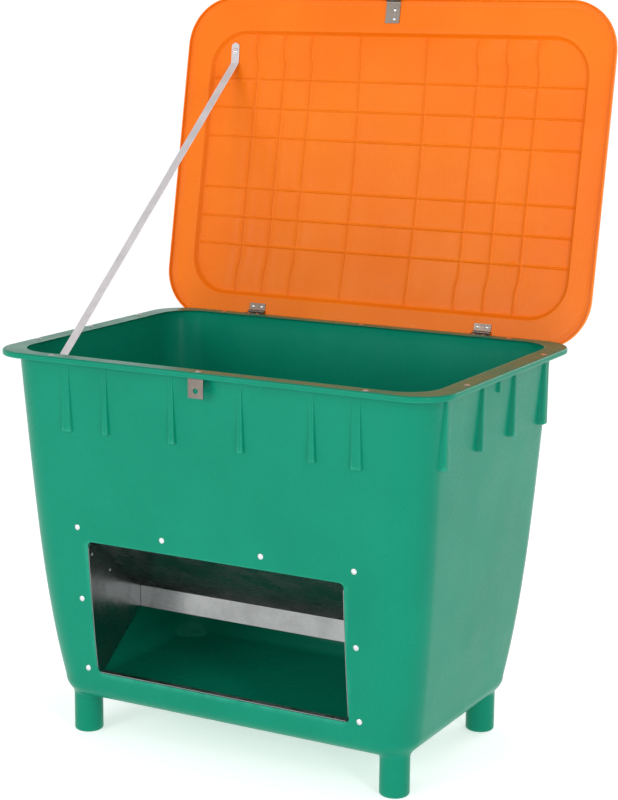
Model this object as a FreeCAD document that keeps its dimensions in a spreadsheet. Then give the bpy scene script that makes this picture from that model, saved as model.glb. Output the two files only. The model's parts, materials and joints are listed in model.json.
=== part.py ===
"""Gravity game feeder: a moulded tub on four hollow legs, with a hinged lid.

Feed fills the tub from the top.  It runs down inside the front wall, passes under the lip of a
sheet-metal hood and lies on the tub floor behind the feeding window, so that game can reach it.

Frame: +Z up, the feeding window faces -Y, the floor is z = 0.  The origin lies on the floor under the
middle of the whole object as it stands with its lid open.  Lengths are millimetres.
"""

import FreeCAD, Part
import math
import os

import Sketcher
from FreeCAD import Placement, Rotation, Vector

doc = FreeCAD.newDocument("gravity_game_feeder")

# ---------------------------------------------------------------- driving dimensions

SIZES = {
    # tub
    "rim_half_length": 635.0,      # outside of the rim, left to right
    "rim_half_depth": 437.0,       # outside of the rim, front to back
    "rim_top": 1043.0,             # height of the rim's flat top
    "rim_corner": 100.0,            # corner radius of the rim
    "rim_lip_drop": 14.0,          # height of the rim's turned-down edge
    "rim_edge_round": 4.0,         # rounding of the rim's outer top edge
    "rim_plate": 4.5,              # thickness of the rim's flat and of its turned-down edge
    "flange_over_side": 38.0,      # rim edge to the wall, at the two ends
    "flange_over_front": 27.0,     # rim edge to the wall, front and back
    "wall": 5.0,                   # thickness of walls and floor
    "wall_corner": 95.0,           # vertical corner radius of the wall
    "wall_taper": 50.0,            # straight part of the wall's lean, top to bottom
    "wall_curl": 24.0,             # extra inward curve that gathers near the bottom
    "base_height": 108.0,          # underside of the tub above the floor
    "base_round": 50.0,            # rounding where the walls turn under
    "leg_radius": 38.3,
    "leg_half_spread": 457.5,      # leg centres, left to right
    "leg_half_track": 261.0,       # leg centres, front to back
    "leg_edge_round": 6.0,
    # upright ribs under the rim
    "rib_foot": 851.0,             # height of the ribs' lower ends
    "rib_width": 14.0,
    "rib_reach_front": 27.0,       # rim edge back to the ribs' upright faces, front and back
    "rib_reach_side": 33.0,        # the same at the two ends
    "rib_inner_front": 97.5,
    "rib_outer_front": 294.0,
    "rib_corner_front": 412.0,
    "rib_inner_side": 98.0,
    "rib_corner_side": 303.0,
    "rib_short_foot": 985.0,       # the short middle rib of each end
    # feeding window
    "window_half_width": 371.0,
    "window_sill": 194.0,
    "window_head": 559.0,
    "window_round": 14.0,
    # sheet-metal feed insert
    "sheet": 1.5,
    "fit_gap": 0.3,                # gap left between sheets that lie against each other
    "seat_gap": 0.05,              # gap under rivet heads, strips and hinge leaves
    "hood_flange": 52.0,           # hood's flange above the window head
    "lip_setback": 297.0,          # rim edge to the face of the hanging lip
    "lip_top": 381.0,
    "lip_foot": 321.0,
    "hem": 11.0,
    "hem_gap": 5.4,                # lip's face to the folded-back hem
    "fold": 2.0,                   # outer radius of folds in the sheet
    "ear_width": 46.0,             # hood's turned-down ends
    "cheek_flange": 42.0,          # cheeks' flanges behind the front wall
    "cheek_toe": 23.0,             # length of the cheeks' short lower edge
    "sill_gap": 3.6,               # shadow gap between the window's edge and the strip
    "sill_depth": 14.0,
    "sill_leg": 22.0,
    "sill_end": 9.0,               # short of the window's side edge at each end
    # rivets and screws
    "rivet_shank": 2.4,
    "rivet_head": 7.6,
    "rivet_dome": 2.6,
    "rivet_tail": 3.8,
    "rivet_tail_length": 3.0,
    "small_head": 4.2,
    "small_shank": 1.6,
    "hole_clearance": 0.1,
    "window_rivet_beside": 28.5,   # window's side edge out to its rivets
    "window_rivet_inner_x": 143.0,
    "window_rivet_above": 35.0,    # window's head up to the upper rivets
    "window_rivet_middle": 205.0,  # window's lower edge up to the middle rivets
    "window_rivet_bottom": 9.0,    # the same for the lower rivets
    "rim_rivet_x": 443.0,
    "rim_rivet_y": 238.0,
    # stiffening strips under the rim
    "strip_width": 16.0,
    "strip_thick": 3.0,
    "strip_end_gap": 120.0,        # rim end to the end of a strip
    # lock
    "lock_x": -9.0,
    "lock_width": 43.0,
    "staple_drop": 63.0,           # rim top down to the staple's lower end
    "staple_sheet": 2.5,
    "lock_hole": 7.0,
    "lock_hole_drop": 45.0,        # rim top down to the padlock hole
    "hasp_sheet": 2.0,
    "hasp_reach": 62.0,            # length of the hasp's flat part on the lid
    "hasp_drop": 66.0,             # length of its turned-down flap
    "hasp_bend": 5.0,
    # lid
    "hinge_behind_rim": 11.0,      # hinge axis behind the rim's rear edge
    "knuckle": 3.8,
    "pin": 1.5,
    "pin_gap": 0.05,
    "leaf": 1.5,
    "leaf_width": 51.0,
    "leaf_on_lid": 24.0,
    "leaf_on_rim": 27.0,
    "hinge_x": 351.0,
    "lid_side_cover": 21.0,        # lid edge beyond the rim edge, at the two ends
    "lid_front_cover": 10.0,       # lid edge in front of the rim edge when closed
    "lid_rear_cover": 30.0,        # lid edge behind the hinge axis
    "lid_corner": 139.0,
    "lid_skin": 4.0,
    "lid_lip_drop": 12.5,          # band's underside down to the lip's end
    "lid_shoulder": 9.0,
    "panel_side_margin": 75.0,     # lid's side edge to the panel's mouth
    "panel_front_margin": 95.0,    # lid's front edge to the panel's mouth
    "panel_rear_margin": 75.0,     # lid's rear edge to the panel's mouth
    "panel_corner": 110.0,
    "panel_rise": 16.0,
    "panel_draft": 9.0,
    "lid_rib": 7.0,
    "lid_rib_deep": 4.0,
    "lid_rib_x1": 101.0,
    "lid_rib_x2": 257.0,
    "lid_rib_x3": 345.0,
    "lid_rib_x4": 434.0,
    "lid_rib_middle": 426.0,       # hinge axis to the middle of the cross ribs
    "lid_rib_y1": 73.0,
    "lid_rib_y2": 156.0,
    "lid_rib_y3": 238.0,
    "lid_open_angle": 100.4,       # lid angle from closed, where the strap is taut
    # strap
    "strap_width": 25.0,
    "strap_thick": 2.0,
    "strap_lid_x": -512.0,
    "strap_lid_reach": 743.0,      # hinge axis to the screw, along the lid
    "strap_end": 28.0,             # strap beyond its lid screw
    "strap_lid_tab": 35.0,         # strap lying flat on the lid below the screw
    "strap_tub_x": -434.0,
    "strap_tub_drop": 40.0,        # rim top down to the tub screw
    "strap_tub_tab": 18.0,         # strap lying flat on the wall above and below its screw
    "strap_gap": 1.2,
    "washer": 9.0,
    "washer_thick": 1.2,
    # place of the tub in the frame
    "tub_y": -89.5,
}

sheet = doc.addObject("Spreadsheet::Sheet", "Sizes")
for row, (alias, number) in enumerate(SIZES.items(), start=1):
    sheet.set(f"A{row}", alias)
    sheet.set(f"B{row}", str(number))
    sheet.setAlias(f"B{row}", alias)
doc.recompute()


def size(alias):
    """Read one driving dimension from the sheet."""
    return float(getattr(sheet, alias))


NODES = []


def node(obj, label):
    """Name a finished sub-part; its label is also the name of its file."""
    obj.Label = label
    NODES.append(obj)
    return obj


# ---------------------------------------------------------------- placing pieces

def stand_on_tub(obj):
    """Pieces fixed to the tub are drawn about the tub's centre line and moved with it."""
    obj.setExpression("Placement.Base.y", "Sizes.tub_y")


HINGE_Y = "(Sizes.rim_half_depth + Sizes.hinge_behind_rim)"
HINGE_Z = "(Sizes.rim_top + Sizes.knuckle)"


def hinge_y():
    return size("rim_half_depth") + size("hinge_behind_rim")


def hinge_z():
    return size("rim_top") + size("knuckle")


def hang_on_lid(obj):
    """Pieces of the lid are drawn closed, with the hinge axis as X axis, and turned open about it."""
    obj.Placement = Placement(Vector(0, 0, 0), Rotation(Vector(1, 0, 0), -1))
    obj.setExpression("Placement.Base.y", f"Sizes.tub_y + {HINGE_Y}")
    obj.setExpression("Placement.Base.z", HINGE_Z)
    obj.setExpression("Placement.Rotation.Angle", "-Sizes.lid_open_angle")


# ---------------------------------------------------------------- sketch helpers

def origin_plane(body, role):
    return next(f for f in body.Origin.OriginFeatures if f.Role == role)


def new_body(label):
    return node(doc.addObject("PartDesign::Body", label), label)


def new_sketch(body, name, role="XY_Plane", offset=None):
    sketch = body.newObject("Sketcher::SketchObject", name)
    sketch.AttachmentSupport = [(origin_plane(body, role), "")]
    sketch.MapMode = "FlatFace"
    if offset:
        sketch.setExpression("AttachmentOffset.Base.z", offset)
    return sketch


def drive(sketch, kind, first, second, expression):
    """Add a distance or radius and bind it to the sheet; an origin distance uses point (-1, 1)."""
    value = doc_value(sketch, expression)
    if kind == "Radius":
        index = sketch.addConstraint(Sketcher.Constraint(kind, first, value))
    else:
        index = sketch.addConstraint(Sketcher.Constraint(kind, *first, *second, value))
    sketch.setExpression(f"Constraints[{index}]", expression)


def doc_value(obj, expression):
    result = obj.evalExpression(expression)
    return float(getattr(result, "Value", result))


def rounded_rectangle(sketch, left, right, low, high, radius):
    """A closed outline from x = -left to right and y = -low to high, all four given as expressions."""
    x0, x1 = -doc_value(sketch, left), doc_value(sketch, right)
    y0, y1 = -doc_value(sketch, low), doc_value(sketch, high)
    r = doc_value(sketch, radius)
    z = Vector(0, 0, 1)
    base = sketch.GeometryCount
    corners = [(x1 - r, y0 + r, -90), (x1 - r, y1 - r, 0), (x0 + r, y1 - r, 90), (x0 + r, y0 + r, 180)]
    ends = [
        ((x0 + r, y0), (x1 - r, y0)), ((x1, y0 + r), (x1, y1 - r)),
        ((x1 - r, y1), (x0 + r, y1)), ((x0, y1 - r), (x0, y0 + r)),
    ]
    for start, end in ends:
        sketch.addGeometry(Part.LineSegment(Vector(*start, 0), Vector(*end, 0)), False)
    for cx, cy, turn in corners:
        circle = Part.Circle(Vector(cx, cy, 0), z, r)
        arc = Part.ArcOfCircle(circle, math.radians(turn), math.radians(turn + 90))
        sketch.addGeometry(arc, False)
    bottom, right_side, top, left_side = range(base, base + 4)
    arcs = list(range(base + 4, base + 8))
    joints = [(bottom, right_side, arcs[0]), (right_side, top, arcs[1]), (top, left_side, arcs[2]),
              (left_side, bottom, arcs[3])]
    for before, after, arc in joints:
        sketch.addConstraint(Sketcher.Constraint("Tangent", before, 2, arc, 1))
        sketch.addConstraint(Sketcher.Constraint("Tangent", arc, 2, after, 1))
    for line in (bottom, top):
        sketch.addConstraint(Sketcher.Constraint("Horizontal", line))
    for line in (right_side, left_side):
        sketch.addConstraint(Sketcher.Constraint("Vertical", line))
    for arc in arcs[1:]:
        sketch.addConstraint(Sketcher.Constraint("Equal", arcs[0], arc))
    drive(sketch, "Radius", arcs[0], None, radius)
    drive(sketch, "DistanceX", (-1, 1), (right_side, 1), right)
    drive(sketch, "DistanceX", (left_side, 1), (-1, 1), left)
    drive(sketch, "DistanceY", (-1, 1), (top, 1), high)
    drive(sketch, "DistanceY", (bottom, 1), (-1, 1), low)


def polygon(sketch, points):
    """A closed straight-sided outline through computed points."""
    count = len(points)
    base = sketch.GeometryCount
    for k in range(count):
        start, end = Vector(*points[k], 0), Vector(*points[(k + 1) % count], 0)
        sketch.addGeometry(Part.LineSegment(start, end), False)
    for k in range(count):
        sketch.addConstraint(Sketcher.Constraint("Coincident", base + k, 2, base + (k + 1) % count, 1))


def circle(sketch, x, y, radius):
    """A circle whose radius is bound to the sheet."""
    index = sketch.addGeometry(Part.Circle(Vector(x, y, 0), Vector(0, 0, 1), doc_value(sketch, radius)), False)
    drive(sketch, "Radius", index, None, radius)


def extrude(body, kind, sketch, length, reverse=False, both=False):
    """Pad or pocket one sketch by a length given as an expression."""
    feature = body.newObject(f"PartDesign::{kind}", f"{sketch.Name}_{kind.lower()}")
    feature.Profile = (sketch, [""])
    feature.setExpression("Length", length)
    feature.Reversed = reverse
    feature.Midplane = both
    doc.recompute()
    return feature


def loft(body, kind, name, sketches):
    feature = body.newObject(f"PartDesign::{kind}", name)
    feature.Profile = (sketches[0], [""])
    feature.Sections = [(sketch, [""]) for sketch in sketches[1:]]
    feature.Ruled = True
    doc.recompute()
    return feature


def round_edges(body, feature, radius, chosen):
    """Fillet the edges of a feature that the test picks out."""
    edges = [f"Edge{k}" for k, edge in enumerate(feature.Shape.Edges, start=1) if chosen(edge)]
    fillet = body.newObject("PartDesign::Fillet", f"{feature.Name}_round")
    fillet.Base = (feature, edges)
    fillet.setExpression("Radius", radius)
    doc.recompute()
    return fillet


def all_at_height(z):
    """An edge test: every point of the edge lies at height z."""
    def chosen(edge):
        box = edge.BoundBox
        return abs(box.ZMin - z) < 0.01 and abs(box.ZMax - z) < 0.01
    return chosen


# ---------------------------------------------------------------- the tub

WALL_TOP = "(Sizes.rim_top - Sizes.rim_lip_drop)"


def wall_inset(height):
    """How far the wall stands in from its top edge at a height; it leans, then curls in and turns under."""
    top = size("rim_top") - size("rim_lip_drop")
    turn = size("base_height") + size("base_round")
    share = min((top - height) / (top - turn), 1.0)
    inset = size("wall_taper") * share + size("wall_curl") * share ** 4
    if height < turn:
        rise = (turn - height) / size("base_round")
        inset += size("base_round") * (1.0 - math.sqrt(max(0.0, 1.0 - rise * rise)))
    return inset


def wall_half_depth(height):
    return size("rim_half_depth") - size("flange_over_front") - wall_inset(height)


def wall_half_length(height):
    return size("rim_half_length") - size("flange_over_side") - wall_inset(height)


WALL_SHARES = (0.0, 0.22, 0.45, 0.66, 0.84, 0.95, 1.0)
TURN_ANGLES = (25.0, 50.0, 70.0, 90.0)


def wall_section(body, name, inset, height, radius):
    sketch = new_sketch(body, name, offset=height)
    half_length = f"Sizes.rim_half_length - Sizes.flange_over_side - {inset}"
    half_depth = f"Sizes.rim_half_depth - Sizes.flange_over_front - {inset}"
    rounded_rectangle(sketch, half_length, half_length, half_depth, half_depth, radius)
    return sketch


def wall_sections(body, prefix, skin):
    """Outlines of the wall from the rim to the floor; skin is the distance inside the outer surface."""
    top = WALL_TOP
    turn = "(Sizes.base_height + Sizes.base_round)"
    sections = []
    for k, share in enumerate(WALL_SHARES):
        inset = f"(Sizes.wall_taper * {share} + Sizes.wall_curl * {share ** 4:.5f} + {skin})"
        height = f"{top} - ({top} - {turn}) * {share}"
        sections.append(wall_section(body, f"{prefix}_{k}", inset, height, f"Sizes.wall_corner - {skin}"))
    for k, angle in enumerate(TURN_ANGLES):
        cosine, sine = math.cos(math.radians(angle)), math.sin(math.radians(angle))
        under = f"(Sizes.base_round - {skin})"
        inset = f"(Sizes.wall_taper + Sizes.wall_curl + {skin} + {under} * {1 - cosine:.5f})"
        height = f"{turn} - {under} * {sine:.5f}"
        radius = f"Sizes.wall_corner - {skin} - {under} * {1 - cosine:.5f}"
        sections.append(wall_section(body, f"{prefix}_turn_{k}", inset, height, radius))
    return sections


def rim_outline(body, name, inset, offset):
    sketch = new_sketch(body, name, offset=offset)
    half_length = f"Sizes.rim_half_length - {inset}"
    half_depth = f"Sizes.rim_half_depth - {inset}"
    rounded_rectangle(sketch, half_length, half_length, half_depth, half_depth, f"Sizes.rim_corner - {inset}")
    return sketch


def leg_centres():
    x, y = size("leg_half_spread"), size("leg_half_track")
    return [(sx * x, sy * y) for sx in (-1, 1) for sy in (-1, 1)]


def rib_pads(body):
    """Upright fins whose outer faces stand plumb while the wall leans in behind them."""
    width = size("rib_width")
    front = size("rim_half_depth") - size("rib_reach_front")
    side = size("rim_half_length") - size("rib_reach_side")
    depth = 70.0
    fronts = [size("rib_inner_front"), size("rib_outer_front"), size("rib_corner_front")]
    sides = [size("rib_inner_side"), size("rib_corner_side")]
    long_ribs = new_sketch(body, "long_ribs", offset="Sizes.rib_foot")
    for x in fronts:
        for sx in (-1, 1):
            for sy in (-1, 1):
                low, high = sorted((sy * front, sy * (front - depth)))
                polygon(long_ribs, box_points(sx * x - width / 2, sx * x + width / 2, low, high))
    for y in sides:
        for sx in (-1, 1):
            for sy in (-1, 1):
                low, high = sorted((sx * side, sx * (side - depth)))
                polygon(long_ribs, box_points(low, high, sy * y - width / 2, sy * y + width / 2))
    extrude(body, "Pad", long_ribs, f"{WALL_TOP} - Sizes.rib_foot")
    short_ribs = new_sketch(body, "short_ribs", offset="Sizes.rib_short_foot")
    for sx in (-1, 1):
        low, high = sorted((sx * side, sx * (side - depth)))
        polygon(short_ribs, box_points(low, high, -width / 2, width / 2))
    extrude(body, "Pad", short_ribs, f"{WALL_TOP} - Sizes.rib_short_foot")


def box_points(x0, x1, y0, y1):
    return [(x0, y0), (x1, y0), (x1, y1), (x0, y1)]


def make_tub():
    """One moulding: walls, floor, rim with a turned-down edge, ribs and four hollow legs."""
    body = new_body("tub")
    loft(body, "AdditiveLoft", "outer_walls", wall_sections(body, "outer", "0"))
    rib_pads(body)
    flange = rim_outline(body, "rim_outline", "0", WALL_TOP)
    extrude(body, "Pad", flange, "Sizes.rim_lip_drop")
    under_rim = rim_outline(body, "under_rim", "Sizes.rim_plate", WALL_TOP)
    half_length = "Sizes.rim_half_length - Sizes.rib_reach_side + 1.5"
    half_depth = "Sizes.rim_half_depth - Sizes.rib_reach_front + 1.5"
    rounded_rectangle(under_rim, half_length, half_length, half_depth, half_depth, "Sizes.wall_corner")
    extrude(body, "Pocket", under_rim, "Sizes.rim_lip_drop - Sizes.rim_plate", reverse=True)
    legs = new_sketch(body, "legs")
    for x, y in leg_centres():
        circle(legs, x, y, "Sizes.leg_radius")
    pad = extrude(body, "Pad", legs, "Sizes.base_height + Sizes.wall")
    rounded = round_edges(body, pad, "Sizes.leg_edge_round", all_at_height(0.0))
    hollow_tub(body)
    cut_window(body)
    drill_tub(body)
    stand_on_tub(body)
    return rounded


def hollow_tub(body):
    """Open the inside of the tub and of its legs, and round the mouth."""
    mouth = wall_section(body, "mouth", "Sizes.wall", "Sizes.rim_top", "Sizes.wall_corner - Sizes.wall")
    extrude(body, "Pocket", mouth, "Sizes.rim_lip_drop")
    loft(body, "SubtractiveLoft", "inner_walls", wall_sections(body, "inner", "Sizes.wall"))
    legs = new_sketch(body, "leg_hollows", offset="Sizes.base_height + Sizes.wall")
    for x, y in leg_centres():
        circle(legs, x, y, "Sizes.leg_radius - Sizes.wall")
    extrude(body, "Pocket", legs, "Sizes.base_height")


def cut_window(body):
    """The feeding window goes through the front wall only."""
    sketch = new_sketch(body, "window", role="XZ_Plane")
    rounded_rectangle(sketch, "Sizes.window_half_width", "Sizes.window_half_width", "-Sizes.window_sill",
                      "Sizes.window_head", "Sizes.window_round")
    extrude(body, "Pocket", sketch, "Sizes.rim_half_depth", reverse=True)


def window_rivet_places():
    """Across and up: four along the head, two down each side."""
    outer, inner = size("window_half_width") + size("window_rivet_beside"), size("window_rivet_inner_x")
    top = size("window_head") + size("window_rivet_above")
    middle, bottom = (size("window_sill") + size(f"window_rivet_{n}") for n in ("middle", "bottom"))
    places = [(sx * x, top) for x in (inner, outer) for sx in (-1, 1)]
    return places + [(sx * outer, z) for z in (middle, bottom) for sx in (-1, 1)]


def rim_line(axis):
    """Middle of the channel under the rim, at the ends (x) or front and back (y)."""
    if axis == "x":
        outer, inner = size("rim_half_length"), size("rib_reach_side")
    else:
        outer, inner = size("rim_half_depth"), size("rib_reach_front")
    return outer - (inner + size("rim_plate")) / 2


def rim_rivet_places():
    """Rivets along every side of the rim; the middle one in front also holds the lock staple."""
    x, y = rim_line("x"), rim_line("y")
    places = [(sx * size("rim_rivet_x"), sy * y) for sx in (-1, 1) for sy in (-1, 1)]
    places += [(sx * x, sy * size("rim_rivet_y")) for sx in (-1, 1) for sy in (-1, 1)]
    return places + [(size("lock_x"), -y), (0.0, y), (-x, 0.0)]


def hinge_rivet_places():
    """Across and back, on the rim: two rivets in each hinge's rim leaf."""
    spread = size("leaf_width") * 0.27
    y = hinge_y() - size("leaf_on_rim") + 6.0
    return [(side * size("hinge_x") + step, y) for side in (-1, 1) for step in (-spread, spread)]


def drill_tub(body):
    """Holes for every rivet and screw that the tub carries."""
    rim_holes = new_sketch(body, "rim_holes", offset="Sizes.rim_top")
    for x, y in rim_rivet_places() + hinge_rivet_places():
        circle(rim_holes, x, y, "Sizes.rivet_shank + Sizes.hole_clearance")
    extrude(body, "Pocket", rim_holes, "Sizes.rim_lip_drop")
    wall_holes = new_sketch(body, "wall_holes", role="XZ_Plane")
    for x, z in window_rivet_places():
        circle(wall_holes, x, z, "Sizes.rivet_shank + Sizes.hole_clearance")
    extrude(body, "Pocket", wall_holes, "Sizes.rim_half_depth", reverse=True)
    strap_z = size("rim_top") - size("strap_tub_drop")
    strap_hole = new_sketch(body, "strap_hole", role="XZ_Plane", offset=f"{-inner_wall_y(strap_z) - 1.0}")
    circle(strap_hole, size("strap_tub_x"), strap_z, "Sizes.rivet_shank + Sizes.hole_clearance")
    extrude(body, "Pocket", strap_hole, "Sizes.wall", reverse=True)


# ---------------------------------------------------------------- folded sheet

def inner_wall_y(z):
    """Inner face of the front wall at a height, on the straight run between two wall outlines."""
    top = size("rim_top") - size("rim_lip_drop")
    turn = size("base_height") + size("base_round")
    heights = [top - (top - turn) * share for share in WALL_SHARES]
    for high, low in zip(heights, heights[1:]):
        if z >= low:
            part = (high - z) / (high - low)
            depth = wall_half_depth(high) * (1 - part) + wall_half_depth(low) * part
            return -(depth - size("wall"))
    return -(wall_half_depth(turn) - size("wall"))


def wall_line(z_low, z_high, gap):
    """Points just behind the front wall, from high to low, bending where the wall bends."""
    top = size("rim_top") - size("rim_lip_drop")
    turn = size("base_height") + size("base_round")
    heights = [top - (top - turn) * share for share in WALL_SHARES]
    chosen = [z_high] + [z for z in heights if z_low + 1 < z < z_high - 1] + [z_low]
    return [(inner_wall_y(z) + gap, z) for z in chosen]


def bend(points, radius, steps=4):
    """Replace each inner corner of a folded line by a short arc."""
    line = [points[0]]
    for before, corner, after in zip(points, points[1:], points[2:]):
        a, b, c = (Vector(*p, 0) for p in (before, corner, after))
        first, second = (a - b).normalize(), (c - b).normalize()
        half = first.getAngle(second) / 2
        middle = (first + second).normalize()
        centre = b + middle * (radius / math.sin(half))
        start = b + first * (radius / math.tan(half)) - centre
        end = b + second * (radius / math.tan(half)) - centre
        for k in range(steps + 1):
            mixed = start * (1 - k / steps) + end * (k / steps)
            point = centre + mixed.normalize() * radius
            line.append((point.x, point.y))
    return line + [points[-1]]


def thick_line(points, thickness):
    """Closed outline of a sheet whose one face follows the points; the other lies on its left."""
    vectors = [Vector(*p, 0) for p in points]
    shifted = []
    for k, here in enumerate(vectors):
        before = (here - vectors[k - 1]).normalize() if k else None
        after = (vectors[k + 1] - here).normalize() if k + 1 < len(vectors) else None
        before, after = before or after, after or before
        middle = (before + after).normalize()
        side = Vector(-middle.y, middle.x, 0)
        reach = thickness / max(0.3, middle.dot(before))
        shifted.append((here.x + side.x * reach, here.y + side.y * reach))
    return list(points) + shifted[::-1]


def pad_profile(body, name, points, width, offset=None):
    """Pad a side view (Y, Z) across the width, centred on X = 0 or on an offset."""
    sketch = new_sketch(body, name, role="YZ_Plane", offset=offset)
    polygon(sketch, points)
    return extrude(body, "Pad", sketch, width, both=True)


def drill(body, name, role, places, radius, depth, offset=None, reverse=False):
    """Drill round holes at places given in the plane of the sketch."""
    sketch = new_sketch(body, name, role=role, offset=offset)
    for u, v in places:
        circle(sketch, u, v, radius)
    return extrude(body, "Pocket", sketch, depth, reverse=reverse)


RIVET_HOLE = "Sizes.rivet_shank + Sizes.hole_clearance"
SMALL_HOLE = "Sizes.small_shank + Sizes.hole_clearance"


def hood_corner():
    """Where the hood's slope leaves the front wall."""
    z = size("window_head") + 3.0
    return inner_wall_y(z) + size("fit_gap"), z


def lip_y():
    return -(size("rim_half_depth") - size("lip_setback"))


def hood_line():
    """The hood's folded line: flange, slope, hanging lip and hem."""
    y, z = hood_corner()
    flange = wall_line(z, z + size("hood_flange"), size("fit_gap"))
    slope_end = (lip_y(), size("lip_top"))
    lip_end = (lip_y(), size("lip_foot"))
    hem_bend = (lip_y() + size("hem_gap"), size("lip_foot"))
    hem_end = (lip_y() + size("hem_gap"), size("lip_foot") + size("hem"))
    return flange, [(y, z), slope_end, lip_end, hem_bend, hem_end]


def slope_point(along, below):
    """A point of the side view measured along the hood's slope and square below it."""
    y, z = hood_corner()
    slope = Vector(lip_y() - y, size("lip_top") - z, 0)
    length = slope.Length
    slope.normalize()
    return (y + slope.x * along * length + slope.y * below, z + slope.y * along * length - slope.x * below)


def cheek_rivet_places():
    """Along the slope: three rivets that tie each of the hood's ears to a cheek."""
    return [slope_point(along, size("ear_width") * 0.54) for along in (0.12, 0.46, 0.82)]


def make_feed_hood():
    """Folded sheet: a flange behind the front wall, a slope into the tub and a hanging lip."""
    body = new_body("feed_hood")
    flange, folds = hood_line()
    width = "2 * (Sizes.window_half_width + 41)"
    pad_profile(body, "flange", thick_line(flange, size("sheet")), width)
    cover = "2 * (Sizes.window_half_width + 1.2)"
    pad_profile(body, "slope", thick_line(bend(folds, size("fold")), size("sheet")), cover)
    top = -size("sheet") / 2
    ear = [slope_point(0.1, top), slope_point(0.98, top), slope_point(0.98, size("ear_width")),
           slope_point(0.2, size("ear_width"))]
    for side in (-1, 1):
        offset = f"{side} * (Sizes.window_half_width + 1.1 - Sizes.sheet / 2)"
        pad_profile(body, f"ear_{'left' if side < 0 else 'right'}", ear, "Sizes.sheet", offset)
    top = [(x, z) for x, z in window_rivet_places() if z > size("window_head")]
    drill(body, "flange_holes", "XZ_Plane", top, RIVET_HOLE, "Sizes.rim_half_depth", reverse=True)
    drill(body, "ear_holes", "YZ_Plane", cheek_rivet_places(), SMALL_HOLE, "2000", "-1000", reverse=True)
    stand_on_tub(body)


def make_cheek(label, side):
    """Upright side of the feed opening, flanged behind the front wall."""
    body = new_body(label)
    gap, plate = size("fit_gap"), size("sheet")
    toe_y, toe_z = inner_wall_y(size("window_sill")) + gap, size("window_sill") + 1.5
    low_end = (toe_y + size("cheek_toe"), toe_z - 0.5)
    wall_side = wall_line(toe_z, size("window_head") - 4.0, gap)
    slope_top = slope_point(0.02, gap + plate)
    slope_low = slope_point(0.97, gap + plate)
    lip_low = (lip_y() - gap - 1.0, size("lip_foot") + 2.0)
    outline = [slope_top, slope_low, (lip_y() - gap - 1.0, slope_low[1] - 4.0), lip_low, low_end]
    reach = size("wall") + gap - 0.3
    corner = size("window_round") + 2.0
    edge = wall_line(size("window_sill") + corner, size("window_head") - corner, gap)
    outline += [wall_side[-1], edge[-1]]
    outline += [(y - reach, z) for y, z in edge[::-1]]
    outline += [edge[0], wall_side[0]]
    pad_profile(body, "plate", outline, "Sizes.sheet", f"{side} * (Sizes.window_half_width - 1.8)")
    flange = f"{side} * (Sizes.window_half_width - 1.8 + Sizes.cheek_flange / 2)"
    pad_profile(body, "flange", thick_line(wall_side, plate), "Sizes.cheek_flange", flange)
    sides = [(x, z) for x, z in window_rivet_places() if z < size("window_head") and x * side > 0]
    drill(body, "flange_holes", "XZ_Plane", sides, RIVET_HOLE, "Sizes.rim_half_depth", reverse=True)
    drill(body, "plate_holes", "YZ_Plane", cheek_rivet_places(), SMALL_HOLE, "2000", "-1000", reverse=True)
    stand_on_tub(body)


def make_sill_strip():
    """Folded strip that lines the lower edge of the window between the cheeks."""
    body = new_body("sill_strip")
    level = size("window_sill") + size("sill_gap")
    front = inner_wall_y(level) - size("wall") + 0.4
    back = inner_wall_y(level) + size("sill_depth")
    line = [(back, level - size("sill_leg")), (back, level), (front, level)]
    pad_profile(body, "strip", thick_line(line, size("sheet")), "2 * (Sizes.window_half_width - Sizes.sill_end)")
    stand_on_tub(body)


# ---------------------------------------------------------------- rivets, screws and washers

def rivet(grip, shank, head, dome, tail):
    """A domed rivet along Z: head above z = 0, tail below the grip."""
    end = grip + size("rivet_tail_length")
    crown = Part.Arc(Vector(0, 0, dome), Vector(head * 0.62, 0, dome * 0.66), Vector(head, 0, 0)).toShape()
    corners = [(head, 0), (shank, 0), (shank, -grip), (tail, -grip), (tail, -end), (0, -end), (0, dome)]
    lines = [Part.makeLine(Vector(a[0], 0, a[1]), Vector(b[0], 0, b[1])) for a, b in zip(corners, corners[1:])]
    face = Part.Face(Part.Wire([crown] + lines))
    return face.revolve(Vector(0, 0, 0), Vector(0, 0, 1), 360)


HEAD_UP = Rotation()
HEAD_DOWN = Rotation(Vector(1, 0, 0), 180)
HEAD_FRONT = Rotation(Vector(1, 0, 0), 90)
HEAD_RIGHT = Rotation(Vector(0, 1, 0), 90)
HEAD_LEFT = Rotation(Vector(0, 1, 0), -90)


def big_rivet(grip):
    return rivet(grip, size("rivet_shank"), size("rivet_head"), size("rivet_dome"), size("rivet_tail"))


def small_rivet(grip):
    return rivet(grip, size("small_shank"), size("small_head"), size("rivet_dome") * 0.6, size("rivet_tail") * 0.7)


def placed(shape, position, turn):
    copy = shape.copy()
    copy.Placement = Placement(Vector(*position), turn)
    return copy


def group(label, shapes, fasten=stand_on_tub):
    """One node that holds several like solids."""
    feature = doc.addObject("Part::Feature", label)
    feature.Shape = Part.makeCompound(shapes)
    fasten(feature)
    return node(feature, label)


def make_rim_rivets():
    top = size("rim_top") + size("seat_gap")
    plain = size("rim_plate") + size("strip_thick") + 3 * size("seat_gap")
    shapes = []
    for x, y in rim_rivet_places():
        at_staple = abs(x - size("lock_x")) < 1 and y < 0
        grip = plain + (size("staple_sheet") + 2 * size("seat_gap") if at_staple else 0.0)
        shapes.append(placed(big_rivet(grip), (x, y, top), HEAD_UP))
    group("rim_rivets", shapes)


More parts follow.
